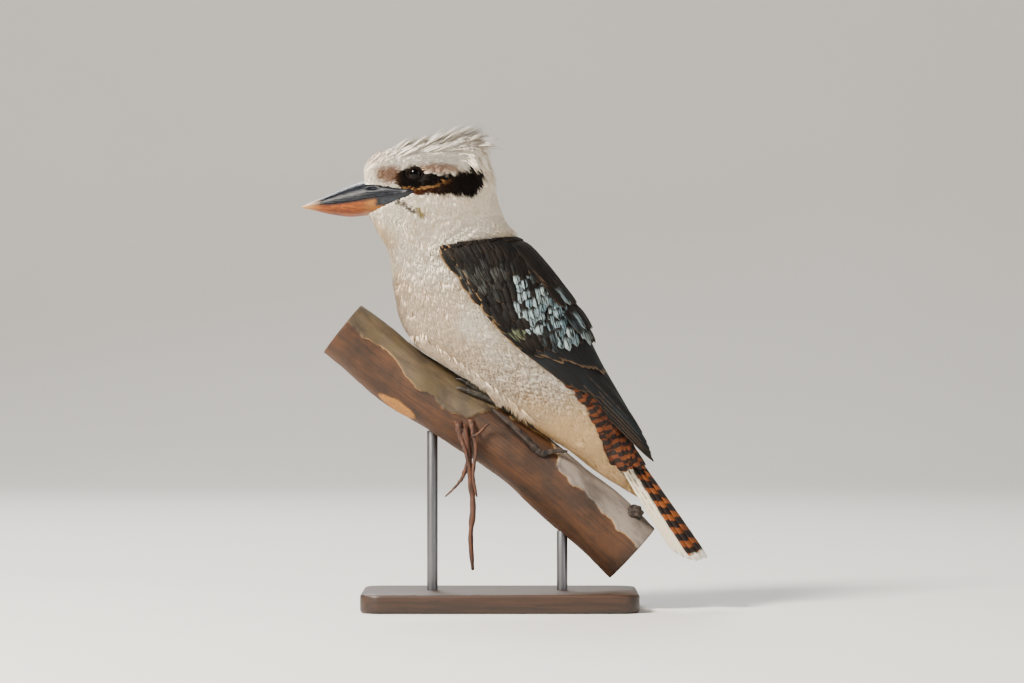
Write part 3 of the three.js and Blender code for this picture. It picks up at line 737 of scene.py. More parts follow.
def wrapped(around, rows, place, stored=None):
    """A grid whose points go where place puts them, in millimetres, closed along its seam and poles."""
    bpy.ops.object.select_all(action="DESELECT")
    bpy.ops.mesh.primitive_grid_add(x_subdivisions=around, y_subdivisions=rows, size=2, calc_uvs=True)
    piece = bpy.context.object
    flat = (coordinates(piece.data)[:, :2] + 1) / 2
    for name, values in (stored(flat[:, 0], flat[:, 1]) if stored else {}).items():
        keep(piece.data, name, values)
    placed = place(flat[:, 0], flat[:, 1]) * MM
    piece.data.vertices.foreach_set("co", placed.astype(np.float32).ravel())
    edit(
        lambda: bpy.ops.mesh.remove_doubles(threshold=MERGE),
        lambda: bpy.ops.mesh.normals_make_consistent(inside=False),
    )
    return piece


def keep(mesh, name, values):
    """Stores three numbers at every point."""
    mesh.attributes.new(name, "FLOAT_VECTOR", "POINT")
    mesh.attributes[name].data.foreach_set("vector", np.asarray(values, np.float32).ravel())


def mesh_of(points, faces, maps, stored):
    """A new object from arrays of points and triangles, with its UV maps and what it stores."""
    mesh = bpy.data.meshes.new("feathers")
    mesh.vertices.add(len(points))
    mesh.vertices.foreach_set("co", (points * MM).astype(np.float32).ravel())
    mesh.loops.add(faces.size)
    mesh.loops.foreach_set("vertex_index", faces.astype(np.int32).ravel())
    mesh.polygons.add(len(faces))
    mesh.polygons.foreach_set("loop_start", np.arange(0, faces.size, 3, dtype=np.int32))
    mesh.polygons.foreach_set("loop_total", np.full(len(faces), 3, np.int32))
    mesh.update(calc_edges=True)
    for name, uv in maps.items():
        layer = mesh.uv_layers.new(name=name)
        layer.data.foreach_set("uv", uv[faces.ravel()].astype(np.float32).ravel())
    for name, values in stored.items():
        keep(mesh, name, values)
    piece = bpy.data.objects.new("feathers", mesh)
    bpy.context.collection.objects.link(piece)
    return piece


def outward(points, faces):
    """The faces turned so that the closed forms they make are not inside out."""
    a, b, c = (points[faces[:, k]] for k in range(3))
    volume = np.einsum("ij,ij->i", a, np.cross(b, c)).sum()
    return faces if volume > 0 else faces[:, ::-1]


def span(surface, s, turn, ds=0.02, dt=1.0):
    """Millimetres for one unit of s and one degree of turn at places on a surface."""
    along = np.linalg.norm(surface(s + ds, turn) - surface(s - ds, turn), axis=-1) / (2 * ds)
    across = np.linalg.norm(surface(s, turn + dt) - surface(s, turn - dt), axis=-1) / (2 * dt)
    return np.maximum(along, 1.0), np.maximum(across, 0.02)


def column(values, n):
    """One value for each feather, shaped to run over its barbs and rings."""
    return np.broadcast_to(np.asarray(values, float), (n,)).reshape(n, 1, 1)


def tufts(surface, s0, turn0, length, width, stand, barb_count, rings, sunk=1.6, heading=0.0,
          spread=(0.3, 1.0), thick=1.0, loose=0.12):
    """Small feathers as fans of thin three-sided barbs that lie along a surface."""
    n = len(s0)
    per_s, per_turn = span(surface, s0, turn0)
    fan = np.linspace(-1, 1, barb_count)[None, :, None]
    t = np.linspace(0, 1, rings + 1)[None, None, :]
    jitter = draw.uniform(-1, 1, (4, n, barb_count, 1))
    length, width, stand, sunk = (column(v, n) for v in (length, width, stand, sunk))
    x = length * t * (1 - 0.16 * fan**2 + loose * jitter[0])
    y = fan * width / 2 * (spread[0] + (spread[1] - spread[0]) * t) + jitter[1] * width * loose * t**1.5
    high = -sunk + (stand + sunk) * t**1.25 + jitter[2] * 2.5 * loose * t
    turned = column(heading, n) + draw.uniform(-0.09, 0.09, (n, 1, 1))
    x, y = x * np.cos(turned) - y * np.sin(turned), x * np.sin(turned) + y * np.cos(turned)
    thin = np.interp(t, [0, 0.35, 0.8, 1], [0.7, 1, 0.72, 0.05]) * thick
    half = (width / barb_count * 0.8).clip(0.14) * thin
    ridge = 0.28 * np.minimum(thin, 0.5) * np.minimum(1, width / 3)

    a = s0[:, None, None] + x / per_s[:, None, None]
    per = per_turn[:, None, None]
    mid = turn0[:, None, None] + y / per
    ring = np.stack([
        surface(a, mid - half / per, high),
        surface(a, mid, high + ridge),
        surface(a, mid + half / per, high),
    ], axis=3)
    body = ring[:, :, :-1].reshape(n * barb_count, rings * 3, 3)
    tip = ring[:, :, -1, 1].reshape(n * barb_count, 1, 3)
    points = np.concatenate([body, tip], axis=1)

    faces = [(0, 1, 2)]
    for i in range(rings - 1):
        for j in range(3):
            p, q = 3 * i + j, 3 * i + (j + 1) % 3
            faces += [(p, p + 3, q), (q, p + 3, q + 3)]
    last = 3 * (rings - 1)
    faces += [(last + j, last + 3, last + (j + 1) % 3) for j in range(3)]
    per_barb = 3 * rings + 1
    count = n * barb_count
    all_faces = (np.arange(count)[:, None, None] * per_barb + np.array(faces)[None]).reshape(-1, 3)

    along = np.concatenate([np.repeat(t[0, 0, :-1], 3), [1.0]])
    across = (fan[0, :, 0] + 1) / 2
    vane = np.empty((n, barb_count, per_barb, 2))
    vane[..., 0] = across[None, :, None]
    vane[..., 1] = along[None, None, :]
    points = points.reshape(-1, 3)
    reach = 0.6 * length[:, 0, 0]
    way = turned[:, 0, 0]
    middle = (s0 + reach * np.cos(way) / per_s, turn0 + reach * np.sin(way) / per_turn)
    return points, outward(points, all_faces), vane.reshape(-1, 2), barb_count * per_barb, middle


def blades(surface, root, tip, width, lift, outline, rings=8, columns=5, thick=0.35,
           sunk=2.0, tilt=0.0, camber=0.6, step=2.0, ragged=0.0):
    """Flat feathers as thin closed vanes on a surface, from a root, which is sunk, to a tip."""
    n = len(root)
    root, tip = np.asarray(root, float), np.asarray(tip, float)
    t = np.linspace(0, 1, rings)[None, :, None]
    w = np.interp(t, [p[0] for p in outline], [p[1] for p in outline])
    c = np.linspace(-1, 1, columns)[None, None, :]
    a = root[:, 0][:, None, None] * (1 - t) + tip[:, 0][:, None, None] * t
    b = root[:, 1][:, None, None] * (1 - t) + tip[:, 1][:, None, None] * t
    _, per_b = span(surface, a, b, 0.02, step)
    half = column(width, n) * w / 2
    torn = 1 + ragged * draw.uniform(-1, 1, (n, rings, 1)) * (t > 0.3)
    y = c * half * torn
    bend = (1 - c**2) * camber * w
    high = column(lift, n) - sunk * np.clip(1 - t * 3, 0, 1) + bend + c * column(tilt, n) * w
    wedge = thick / 2 * np.interp(np.abs(c), [0, 0.15, 0.6, 1], [1.6, 1.0, 0.7, 0.3])
    a, b = np.broadcast_to(a, y.shape), b + y / per_b
    top = surface(a, b, high + wedge)
    under = surface(a, b, high - wedge)[:, :, ::-1]
    ring = np.concatenate([top, under], axis=2)
    m = 2 * columns
    faces = []
    for i in range(rings - 1):
        for j in range(m):
            k = (j + 1) % m
            p, q, r, s = i * m + j, i * m + k, (i + 1) * m + k, (i + 1) * m + j
            if j < columns:
                faces += [(p, q, r), (p, r, s)]
            else:
                faces += [(p, q, s), (q, r, s)]
    for start, flip in ((0, False), ((rings - 1) * m, True)):
        for j in range(columns - 1):
            quad = [start + j, start + j + 1, start + m - 2 - j, start + m - 1 - j]
            if not flip:
                quad = quad[::-1]
            faces += [(quad[0], quad[1], quad[2]), (quad[0], quad[2], quad[3])]
    per = rings * m
    all_faces = (np.arange(n)[:, None, None] * per + np.array(faces)[None]).reshape(-1, 3)
    vane = np.empty((n, rings, m, 2))
    across = (c[0, 0] + 1) / 2
    vane[..., 0] = np.concatenate([across, across[::-1]])[None, None, :]
    vane[..., 1] = t[..., :]
    points = ring.reshape(-1, 3)
    return points, outward(points, all_faces), vane.reshape(-1, 2), per


def patches(root_u, root_v, vane, per):
    """Every tuft's small patch at its root's place on the unwrapped skin."""
    u = np.clip(np.repeat(root_u, per), 0.002, 0.998) + 0.003 * (vane[:, 0] - 0.5)
    v = np.clip(np.repeat(root_v, per), 0.002, 0.998) + 0.003 * (vane[:, 1] - 0.5)
    return np.stack([u, v], -1)


# The skin, and the coat of small feathers on it

EYE_CENTRE = (-62, 18.9, 321)
EYE_RADIUS = 7.4
EYE_OPENING = 5.6
# The eyes' openings and sockets lie farther than this from the middle plane
FACE_SIDE = 8

# Where the face feathers stop at the bill: x, and the upper and lower edge of the bare horn
BILL_EDGE_X = [-104, -100, -98, -90, -83, -76, -70, -65, -62]
BILL_EDGE_TOP = [316, 314.5, 314, 312.4, 310.8, 309.6, 309.0, 308.6, 308.2]
BILL_EDGE_LOW = [291, 292, 293.2, 296.2, 299.4, 302.4, 305.2, 307.4, 308.2]

# Feather length, and how deep the skin lies under the feather tips, by slice: back, side, keel
COAT_LENGTH = np.array([
    [4, 4, 5], [5, 4.5, 6], [7, 5, 7], [9, 5.5, 8], [12, 6.5, 9], [12, 8, 10], [11, 9, 11],
    [11, 11, 12], [11, 13, 14], [12, 14, 15], [14, 15, 16], [16, 17, 19], [16, 18, 22],
    [16, 18, 22], [14, 15, 18],
], float)
SKIN_DEPTH = np.array([
    3.4, 1.6, 1.6, 1.8, 2.0, 2.3, 2.6, 3.0, 3.3, 3.5, 3.5, 3.2, 2.6, 2.0, 1.2,
])[:, None]


def eye_centre(side):
    """The middle of one eyeball."""
    return np.array([EYE_CENTRE[0], -EYE_CENTRE[1] * side, EYE_CENTRE[2]])


def head_relief(s, turn):
    """Small swells and hollows of the face: a socket round the eye, a brow, a full cheek."""
    p = body_point(s, turn)
    away = np.hypot(p[..., 0] - EYE_CENTRE[0], p[..., 2] - EYE_CENTRE[2])
    side = np.abs(p[..., 1]) > FACE_SIDE
    socket = -1.5 * np.exp(-(away / 7.5) ** 2)
    brow = 1.1 * np.exp(-((p[..., 0] + 60) / 17) ** 2 - ((p[..., 2] - 331) / 4.2) ** 2)
    cheek = 1.2 * np.exp(-((p[..., 0] + 48) / 19) ** 2 - ((p[..., 2] - 297) / 9) ** 2)
    return np.where(side, socket + brow + cheek, 0.0)


def coat_point(s, turn, lift=0.0):
    """The outside of the coat, which the tips reach."""
    return body_point(s, turn, head_relief(s, turn) + lift)


def skin_share(s, turn):
    """The place of s and turn on the unwrapped skin."""
    return np.mod(np.asarray(turn), 360) / 360, np.asarray(s) / BODY_LAST


def make_skin(paint):
    """The bird's skin in one piece, under the coat by the coat's depth."""
    def place(u, v):
        s, turn = v * BODY_LAST, u * 360
        depth = between_rows(SKIN_DEPTH, s)[..., 0]
        closed = at_ends(v)
        return np.where(closed[:, None], between_middle(s), coat_point(s, turn, -depth))

    def stored(u, v):
        s, turn = v * BODY_LAST, u * 360
        return {
            "seat": body_point(s, turn) * MM,
            "lie": np.stack([v, fold_of(turn) / 180, 0.4 + 0 * v], -1),
            # An along of 0.35 gives the skin part of the painted shade at the feather roots
            "Vane": np.stack([0.5 + 0 * v, 0.35 + 0 * v, 0 * v], -1),
        }
    skin = wrapped(120, 210, place, stored)
    skin.data.uv_layers[0].name = "OFBake"
    covered = ["head", "neck", "torso", "leg_left", "leg_right"]
    return finish(skin, "bird_skin", covered, paint)


def between_middle(s):
    """The middle of a slice."""
    rows = between_rows(BODY_ROWS, s)
    return np.stack([(rows[:, 0] + rows[:, 2]) / 2, 0 * s, (rows[:, 1] + rows[:, 3]) / 2], -1)


def scatter(s_from, s_to, turn_from, turn_to, spacing, wanted):
    """Evenly ragged places on the body, about spacing millimetres apart, where wanted is true."""
    rows = max(4, int((s_to - s_from) * 24))
    cols = max(6, int((turn_to - turn_from) / 4))
    s, turn = np.meshgrid(
        s_from + (np.arange(rows) + 0.5) / rows * (s_to - s_from),
        turn_from + (np.arange(cols) + 0.5) / cols * (turn_to - turn_from),
        indexing="ij",
    )
    s, turn = s.ravel(), turn.ravel()
    ds, dt = (s_to - s_from) / rows, (turn_to - turn_from) / cols
    per_s, per_turn = span(body_point, s, turn)
    gap = spacing(s, turn) if callable(spacing) else spacing
    share = per_s * ds * per_turn * dt / gap**2
    number = np.floor(share + draw.random(len(s))).astype(int)
    s, turn = np.repeat(s, number), np.repeat(turn, number)
    s = s + draw.uniform(-0.5, 0.5, len(s)) * ds
    turn = turn + draw.uniform(-0.5, 0.5, len(s)) * dt
    good = wanted(s, turn)
    return s[good], turn[good]


def fold_of(turn):
    """Degrees from the back, the same on both sides."""
    return np.abs(np.mod(np.asarray(turn) + 180, 360) - 180)


def by_side(table, s, turn):
    """A value that changes along the body and from back to side to keel."""
    back, side, keel = np.moveaxis(between_rows(table, s), -1, 0)
    c = np.cos(np.radians(turn))
    return np.where(c > 0, side + (back - side) * c**2, side + (keel - side) * c**2)


def clear_of_face(s, turn):
    """Where feathers may grow: not on the bill, in the eye's opening, or under the folded wings."""
    p = body_point(s, turn)
    away = np.hypot((p[..., 0] - EYE_CENTRE[0] + 0.8) / 1.08, p[..., 2] - EYE_CENTRE[2])
    eye = (away < EYE_OPENING) & (np.abs(p[..., 1]) > FACE_SIDE)
    edge_top = np.interp(p[..., 0], BILL_EDGE_X, BILL_EDGE_TOP)
    edge_low = np.interp(p[..., 0], BILL_EDGE_X, BILL_EDGE_LOW)
    bill = (p[..., 2] < edge_top) & (p[..., 2] > edge_low) & (p[..., 0] < BILL_EDGE_X[-1])
    fold = fold_of(turn)
    wing = (s > 8.7) & (s < 11.0) & (fold > 24) & (fold < 62)
    return ~eye & ~bill & ~wing


def coat_piece(name, slices, turns, spacing, width, barb_count, rings, stand, full, nodes, paint):
    """One tract of the coat as a joined mesh."""
    s, turn = scatter(*slices, *turns, spacing, clear_of_face)
    length = by_side(COAT_LENGTH, s, turn) * draw.uniform(0.85, 1.15, len(s))
    depth = between_rows(SKIN_DEPTH, s)[..., 0]
    high = stand * draw.uniform(0.3, 1.2, len(s)) + draw.uniform(-0.25, 0.1, len(s)) * (0.3 + length / 24)
    made = tufts(
        coat_point, s, turn, length, length * width, high, barb_count, rings, sunk=depth + 0.4,
        heading=draw.uniform(-0.14, 0.14, len(s)), spread=(0.3 * full, 1.0), thick=full,
        loose=0.12 / full**2,
    )
    return coat_mesh(name, s, turn, made, nodes, paint)


# The coat's tracts: slices, turns on the left side or over both, spacing, width for the length,
# barbs, rings, how far the tips stand, fullness, and the solids that the tract replaces
TRACTS = {
    "face": ((0.0, 4.0), (50, 178), 1.25, 0.42, 3, 2, 0.2, 1.0, ["head"]),
    "crown": ((0.0, 6.0), (-62, 62), 2.0, 0.36, 5, 2, 0.2, 1.0, ["head"]),
    "cheek": ((4.0, 6.6), (50, 180), 2.0, 0.38, 5, 2, 0.2, 1.0, ["head", "neck"]),
    "nape": ((5.6, 7.7), (-75, 75), 2.3, 0.38, 5, 3, 0.2, 1.0, ["head", "neck"]),
    "breast": ((6.6, 9.2), (60, 180), 2.6, 0.4, 5, 3, 0.2, 1.4, ["neck", "torso"]),
    "belly": ((9.2, 11.6), (60, 180), 2.8, 0.4, 5, 3, 0.2, 1.4, ["torso"]),
    "belly_skirt": ((8.85, 10.6), (142, 218), 2.6, 0.34, 5, 3, 5.0, 1.0, ["torso"]),
    "mantle": ((7.5, 11.6), (-62, 62), 2.8, 0.44, 5, 3, 0.2, 1.0, ["torso"]),
    "undertail": ((11.4, 13.9), (0, 360), 2.4, 0.32, 5, 3, 0.2, 1.0, ["torso"]),
}
PAIRED_TRACTS = ("face", "cheek", "breast", "belly")


def make_coat(paint):
    """All tracts of the coat, the paired ones on the left and then on the right."""
    for name, (slices, turns, *rest) in TRACTS.items():
        if name in PAIRED_TRACTS:
            coat_piece("coat_" + name + "_left", slices, turns, *rest, paint)
            coat_piece("coat_" + name + "_right", slices, (360 - turns[1], 360 - turns[0]), *rest, paint)
        else:
            coat_piece("coat_" + name, slices, turns, *rest, paint)


def coat_mesh(name, s, turn, made, nodes, paint):
    """The mesh of a tract from its tufts, with what their colours are read from."""
    points, faces, vane, per, (s_mid, turn_mid) = made
    lie = np.stack([s_mid / BODY_LAST, fold_of(turn_mid) / 180, draw.random(len(s))], -1)
    stored = {
        "seat": np.repeat(body_point(s_mid, turn_mid) * MM, per, axis=0),
        "lie": np.repeat(lie, per, axis=0),
    }
    maps = {"OFBake": patches(*skin_share(s, turn), vane, per), "Vane": vane}
    return finish(mesh_of(points, faces, maps, stored), name, nodes, paint)


# How far the crown's feather tips stand off the skin, at every half slice of the head
CREST_RISE = np.array([2.5, 2.5, 2.5, 2.5, 3, 3.5, 4.5, 7, 11, 17, 14, 9, 6, 5, 5])[:, None]


def make_crest(paint):
    """The shaggy crown: locks that lie back along the head, and longer ones that stand up behind."""
    def on_crown(s, turn):
        lowest = np.interp(s, [0, 2, 2.4, 4.6, 5.4, 6], [326, 330, 339, 339, 328, 318])
        widest = np.interp(s, [0, 3.8, 4.6, 5.9], [84, 84, 48, 40])
        return clear_of_face(s, turn) & (body_point(s, turn)[..., 2] > lowest) & (np.abs(turn) < widest)
    s, turn = scatter(0.1, 5.9, -84, 84, 2.3, on_crown)
    long = np.interp(s, [0.1, 1.6, 2.6, 3.6, 4.6, 5.9], [4.5, 8, 13, 17, 17, 12])
    long = long * draw.uniform(0.7, 1.2, len(s))
    per_s, _ = span(body_point, s, turn)
    rise = between_rows(CREST_RISE, 2 * (s + 0.9 * long / per_s))[..., 0]
    stand = rise * (0.03 + 0.57 * np.cos(np.radians(turn)) ** 2) * draw.uniform(0.3, 1.1, len(s))
    wide = 2.2 + long * 0.15
    spikes = 100
    s_up = draw.uniform(2.2, 5.0, spikes)
    turn_up = draw.normal(0, 17, spikes).clip(-34, 34)
    long_up = draw.uniform(12, 18, spikes)
    tall = draw.uniform(0.35, 1.0, spikes) * np.interp(s_up, [2.2, 3.0, 3.9, 5.0], [8, 15, 22, 19])
    s = np.concatenate([s, s_up])
    turn = np.concatenate([turn, turn_up])
    made = tufts(
        coat_point, s, turn, np.concatenate([long, long_up]),
        np.concatenate([wide, draw.uniform(4.5, 6.5, spikes)]),
        np.concatenate([stand, tall * np.cos(np.radians(turn_up)) ** 2]), 6, 4, sunk=1.8,
        heading=draw.uniform(-0.2, 0.2, len(s)), spread=(0.9, 0.3), thick=1.2, loose=0.09,
    )
    return coat_mesh("crest_locks", s, turn, made, ["head"], paint)


def make_shoulder(side, paint):
    """The soft fringe of neck feathers over the front edge of a folded wing."""
    n = 460
    turn = draw.uniform(14, 104, n)
    back = draw.random(n)
    s = np.interp(turn, [11, 45, 93, 104], [7.4, 7.2, 7.03, 7.0]) - 0.2 - 0.5 * back
    long = draw.uniform(9.5, 12.5, n)
    stand = 0.1 + 3.8 * (1 - back) ** 1.6 * draw.uniform(0.6, 1.1, n)
    made = tufts(
        coat_point, s, turn * side, long, long * 0.42, stand, 5, 3, sunk=3.2,
        heading=draw.uniform(-0.14, 0.14, n), spread=(0.4, 1.0), thick=1.3, loose=0.07,
    )
    return coat_mesh("shoulder_fringe_" + side_name(side), s, turn * side, made, ["neck"], paint)


# Wings

ROUND_TIP = [(0, 0.55), (0.3, 0.85), (0.62, 1), (0.8, 0.93), (0.91, 0.74), (0.97, 0.48), (1, 0.16)]
LONG_TIP = [(0, 0.5), (0.3, 0.95), (0.6, 1), (0.82, 0.88), (0.93, 0.62), (0.98, 0.36), (1, 0.12)]
SQUARE_TIP = [(0, 0.4), (0.3, 0.72), (0.7, 1), (0.93, 0.98), (0.975, 0.8), (1, 0.45)]

# Tiers of long feathers: number, first and last root, first and last tip (slice and turn on the wing),
# first and last width, lift, more lift from one to the next, tilt, outline
FLIGHT = [
    (6, ((2.4, 84), (2.4, 62)), ((4.98, 34), (4.45, 17)), (12, 12), -4.6, 0.55, 0.0, LONG_TIP),
    (10, ((1.9, 86), (2.1, 22)), ((3.2, 74), (4.3, 13)), (15, 16), -2.7, 0.0, 0.7, LONG_TIP),
    (11, ((1.3, 90), (1.7, 26)), ((2.6, 80), (3.15, 24)), (13, 13), -1.3, 0.0, 0.7, ROUND_TIP),
]


def ends(pair, n):
    """Places spread evenly from one end of a tier to the other."""
    t = np.linspace(0, 1, n)[:, None]
    return (1 - t) * np.array(pair[0], float) + t * np.array(pair[1], float)


def make_flight(side, paint):
    """The primaries, secondaries and greater coverts of one wing."""
    surface = wing_point(side)
    parts = []
    for number, root, tip, width, lift, stack, tilt, outline in FLIGHT:
        start, stop = ends(root, number), ends(tip, number)
        stop[:, 0] += draw.uniform(-0.05, 0.05, number)
        parts.append((start, stop, blades(
            surface, start, stop, np.linspace(*width, number), lift + stack * np.arange(number), outline,
            rings=14, columns=7, thick=0.5, tilt=np.full(number, tilt), camber=0.5,
        )))
    return wing_blades(parts, "flight_feathers_", side, paint)


def side_name(side):
    """The word for a side in the names of pieces."""
    return "left" if side == LEFT else "right"


def eye_look(side):
    """The way that an eye faces."""
    look = np.array([-0.16, -0.98 * side, 0.06])
    return look / np.linalg.norm(look)


def join_blades(parts, name, node, paint, surface, scale):
    """One mesh from several tiers of vanes, each vane with its own cell of the map."""
    count = sum(len(root) for root, _, _ in parts)
    wide = math.ceil(math.sqrt(count / 3))
    high = math.ceil(count / wide)
    points, faces, vanes, lies, seats, cells, start, done = [], [], [], [], [], [], 0, 0
    for root, tip, (p, f, v, per) in parts:
        points.append(p)
        faces.append(f + start)
        vanes.append(v)
        start += len(p)
        lie = np.stack([root[:, 0] / scale[0], np.abs(root[:, 1]) / scale[1], draw.random(len(root))], -1)
        lies.append(np.repeat(lie, per, axis=0))
        middle = 0.25 * root + 0.75 * tip
        seats.append(np.repeat(surface(middle[:, 0], middle[:, 1], 0 * middle[:, 0]) * MM, per, axis=0))
        i = done + np.repeat(np.arange(len(root)), per)
        done += len(root)
        cells.append(np.stack([
            (i % wide + 0.06 + 0.88 * v[:, 0]) / wide,
            (i // wide + 0.04 + 0.92 * v[:, 1]) / high,
        ], -1))
    arrays = (points, faces, vanes, lies, seats, cells)
    points, faces, vanes, lies, seats, cells = map(np.concatenate, arrays)
    piece = mesh_of(points, faces, {"OFBake": cells, "Vane": vanes}, {"lie": lies, "seat": seats})
    return finish(piece, name, [node], paint)


def wing_blades(parts, name, side, paint):
    """The joined vanes of one wing."""
    name, node = name + side_name(side), "wing_" + side_name(side)
    return join_blades(parts, name, node, paint, wing_point(side), (5, 90))


# The scapulars' rows: slice, length, width
SCAPULARS = [(0.0, 15, 9), (0.3, 18, 10), (0.65, 22, 11), (1.0, 25, 12), (1.4, 28, 12), (1.8, 30, 12)]


def make_coverts(side, paint):
    """Rows of small coverts from the shoulder back, and the scapulars over the wing's root."""
    surface = wing_point(side)
    parts = []
    rows = np.concatenate([np.arange(0.0, 1.0, 0.09), np.arange(1.0, 2.2, 0.115)])
    for k, s in enumerate(rows):
        low, high = 11, np.interp(s, [0, 0.3, 1, 2.2], [94, 96, 93, 83])
        long = np.interp(s, [0, 0.5, 1.2, 2.2], [9, 12, 16, 20])
        wide = np.interp(s, [0, 0.5, 1.2, 2.2], [5.2, 5.8, 6.6, 7.4])
        per_s, per_turn = span(surface, np.array([s]), np.array([50.0]))
        number = int((high - low) * per_turn[0] / (wide * 0.66))
        turn = np.linspace(low, high, number) + (k % 2) * 0.5 * (high - low) / number
        turn = turn + draw.uniform(-1.4, 1.4, number)
        per_s, per_turn = span(surface, np.full(number, s), turn)
        reach = long * draw.uniform(0.85, 1.12, number)
        slant = 0.42 * np.interp(turn, [8, 30, 62, 86], [0, 1, 0.9, -0.1])
        slant = slant + draw.uniform(-0.07, 0.07, number)
        root = np.stack([s + draw.uniform(-0.035, 0.035, number), turn], -1)
        tip = root + np.stack([reach * 0.91 / per_s, reach * slant / per_turn], -1)
        lift = 0.35 + np.interp(s, [0, 2.2], [0.9, -0.3]) + draw.uniform(-0.3, 0.3, number)
        parts.append((root, tip, blades(
            surface, root, tip, wide * draw.uniform(0.85, 1.15, number), lift, ROUND_TIP,
            rings=7, columns=5, thick=0.3, sunk=2.4, camber=0.55,
            tilt=draw.uniform(-0.3, 0.3, number), ragged=0.07,
        )))
    for s, long, wide in SCAPULARS:
        turn = np.array([33, 26, 19, 12, 6]) + draw.uniform(-1, 1, 5)
        per_s, _ = span(surface, np.array([s]), np.array([20.0]))
        root = np.stack([np.full(5, s) + draw.uniform(-0.05, 0.05, 5), turn], -1)
        tip = root + np.array([long / per_s[0], -1.0])
        parts.append((root, tip, blades(
            surface, root, tip, np.full(5, wide), 2.2 - s * 0.4 + draw.uniform(-0.2, 0.2, 5), ROUND_TIP,
            rings=9, columns=5, thick=0.35, sunk=3.0, camber=0.6, ragged=0.04,
        )))
    return wing_blades(parts, "wing_coverts_", side, paint)


def make_wing_bed(side, paint):
    """The folded arm under the coverts, down to the body."""
    surface = wing_point(side)

    def place(u, v):
        s = 0.05 + v * 3.1
        end = np.interp(s, [0, 0.5, 1, 2, 3.15], [88, 92, 92, 84, 72])
        around = np.where(u < 0.5, u * 2, 2 - u * 2)
        turn = 13 + (end - 13) * around
        deep = np.interp(v, [0, 0.15, 1], [3, 7.5, 3.4])
        bulge = np.sin(np.pi * np.clip(around, 0, 1))
        lift = np.where(u < 0.5, -2.7 + 0.5 * bulge, -2.9 - deep)
        p = surface(s, turn, lift)
        closed = at_ends(v)
        middle = surface(s, 13 + (end - 13) * 0.5, np.full_like(s, -4.0))
        return np.where(closed[:, None], middle, p)

    def stored(u, v):
        return {
            "lie": np.tile([0.1, 0.1, 0.2], (len(u), 1)),
            "Vane": np.tile([0.5, 0.2, 0], (len(u), 1)),
            "seat": np.tile([0, 0, 0], (len(u), 1)),
        }
    piece = wrapped(28, 30, place, stored)
    name = side_name(side)
    return finish(piece, "wing_arm_" + name, ["wing_" + name], paint)


# Tail

def make_tail(paint):
    """Twelve tail feathers, the middle pair on top."""
    parts = []
    for side in (LEFT, RIGHT):
        i = np.arange(6)
        root = np.stack([np.full(6, 26.0), side * (3 + 2.5 * i)], -1)
        tip = np.stack([TAIL_LENGTH - 0.6 * i**2 + draw.uniform(-1, 1, 6), side * (5.2 + 3.4 * i)], -1)
        lift = -1.5 * i - (0.75 if side == RIGHT else 0)
        made = blades(
            tail_point, root, tip, np.where(i == 0, 12.5, 14.5), lift, SQUARE_TIP, rings=22, columns=7,
            thick=0.5, sunk=0.0, camber=0.5, step=1.0, ragged=0.04,
        )
        parts.append((np.stack([root[:, 0], i], -1), tip, made))
    return join_blades(parts, "tail_feathers", "tail", paint, tail_point, (1, 5))


def make_rump(paint):
    """The upper tail coverts, from the rump out over the roots of the tail."""
    parts = []
    for along, lift, long in ((-2, 2.4, 30), (8, 2.0, 32), (18, 1.4, 32), (28, 0.9, 30)):
        across = np.array([-19, -14, -9, -4, 1, 6, 11, 16, 20]) + draw.uniform(-1, 1, 9)
        widening = np.interp(along, [0, 28], [0.6, 0.95])
        root = np.stack([along + draw.uniform(-2, 2, 9), across * widening], -1)
        tip = root + np.stack([long + draw.uniform(-3, 3, 9), across * 0.12], -1)
        made = blades(
            tail_point, root, tip, np.full(9, 10), lift, ROUND_TIP,
            rings=10, columns=5, thick=0.35, sunk=3.0, camber=0.8, step=1.0, ragged=0.08,
        )
        parts.append((root, tip, made))
    join_blades(parts, "upper_tail_coverts", "tail", paint, tail_point, (100, 30))
    parts = []
    for k, s in enumerate(np.arange(9.7, 12.5, 0.24)):
        turn = np.arange(-60, 61, 7.5) + (k % 2) * 3.7 + draw.uniform(-1.5, 1.5, 17)
        turn = turn * np.interp(s, [10, 12.5], [1, 1.05])
        per_s, _ = span(body_point, np.full(17, s), turn)
        root = np.stack([s + draw.uniform(-0.08, 0.08, 17), turn], -1)
        reach = draw.uniform(14, 19, 17) / per_s
        tip = root + np.stack([reach, draw.uniform(-3, 1, 17) * np.sign(turn)], -1)
        parts.append((root, tip, blades(
            body_point, root, tip, np.full(17, 8.5), draw.uniform(0.2, 0.9, 17), ROUND_TIP,
            rings=8, columns=5, thick=0.3, sunk=2.5, camber=0.6, ragged=0.1,
        )))
    join_blades(parts, "rump_feathers", "torso", paint, body_point, (14, 180))


# Bill and eyes

# Slices of the bill: x, top z, mouth z, bottom z, half width
BILL_ROWS = np.array([
    [-61, 310.6, 308.8, 303, 26.6],
    [-69, 311.6, 307.5, 299.5, 26.2],
    [-77, 313.2, 305.9, 297, 22.4],
    [-85, 315.2, 304.9, 294.8, 18.4],
    [-93, 317, 304, 292.4, 15.9],
    [-101, 316.4, 302.7, 291.3, 13.8],
    [-112, 312.5, 300.8, 290.6, 10.7],
    [-126, 306.5, 299.5, 292.4, 7.1],
    [-138, 301.3, 298.6, 295.2, 3.8],
    [-146.5, 297.8, 297.2, 296.6, 0.9],
], float)


# The share of the way round one half of the bill that its outside takes
BILL_OUTSIDE = 0.72


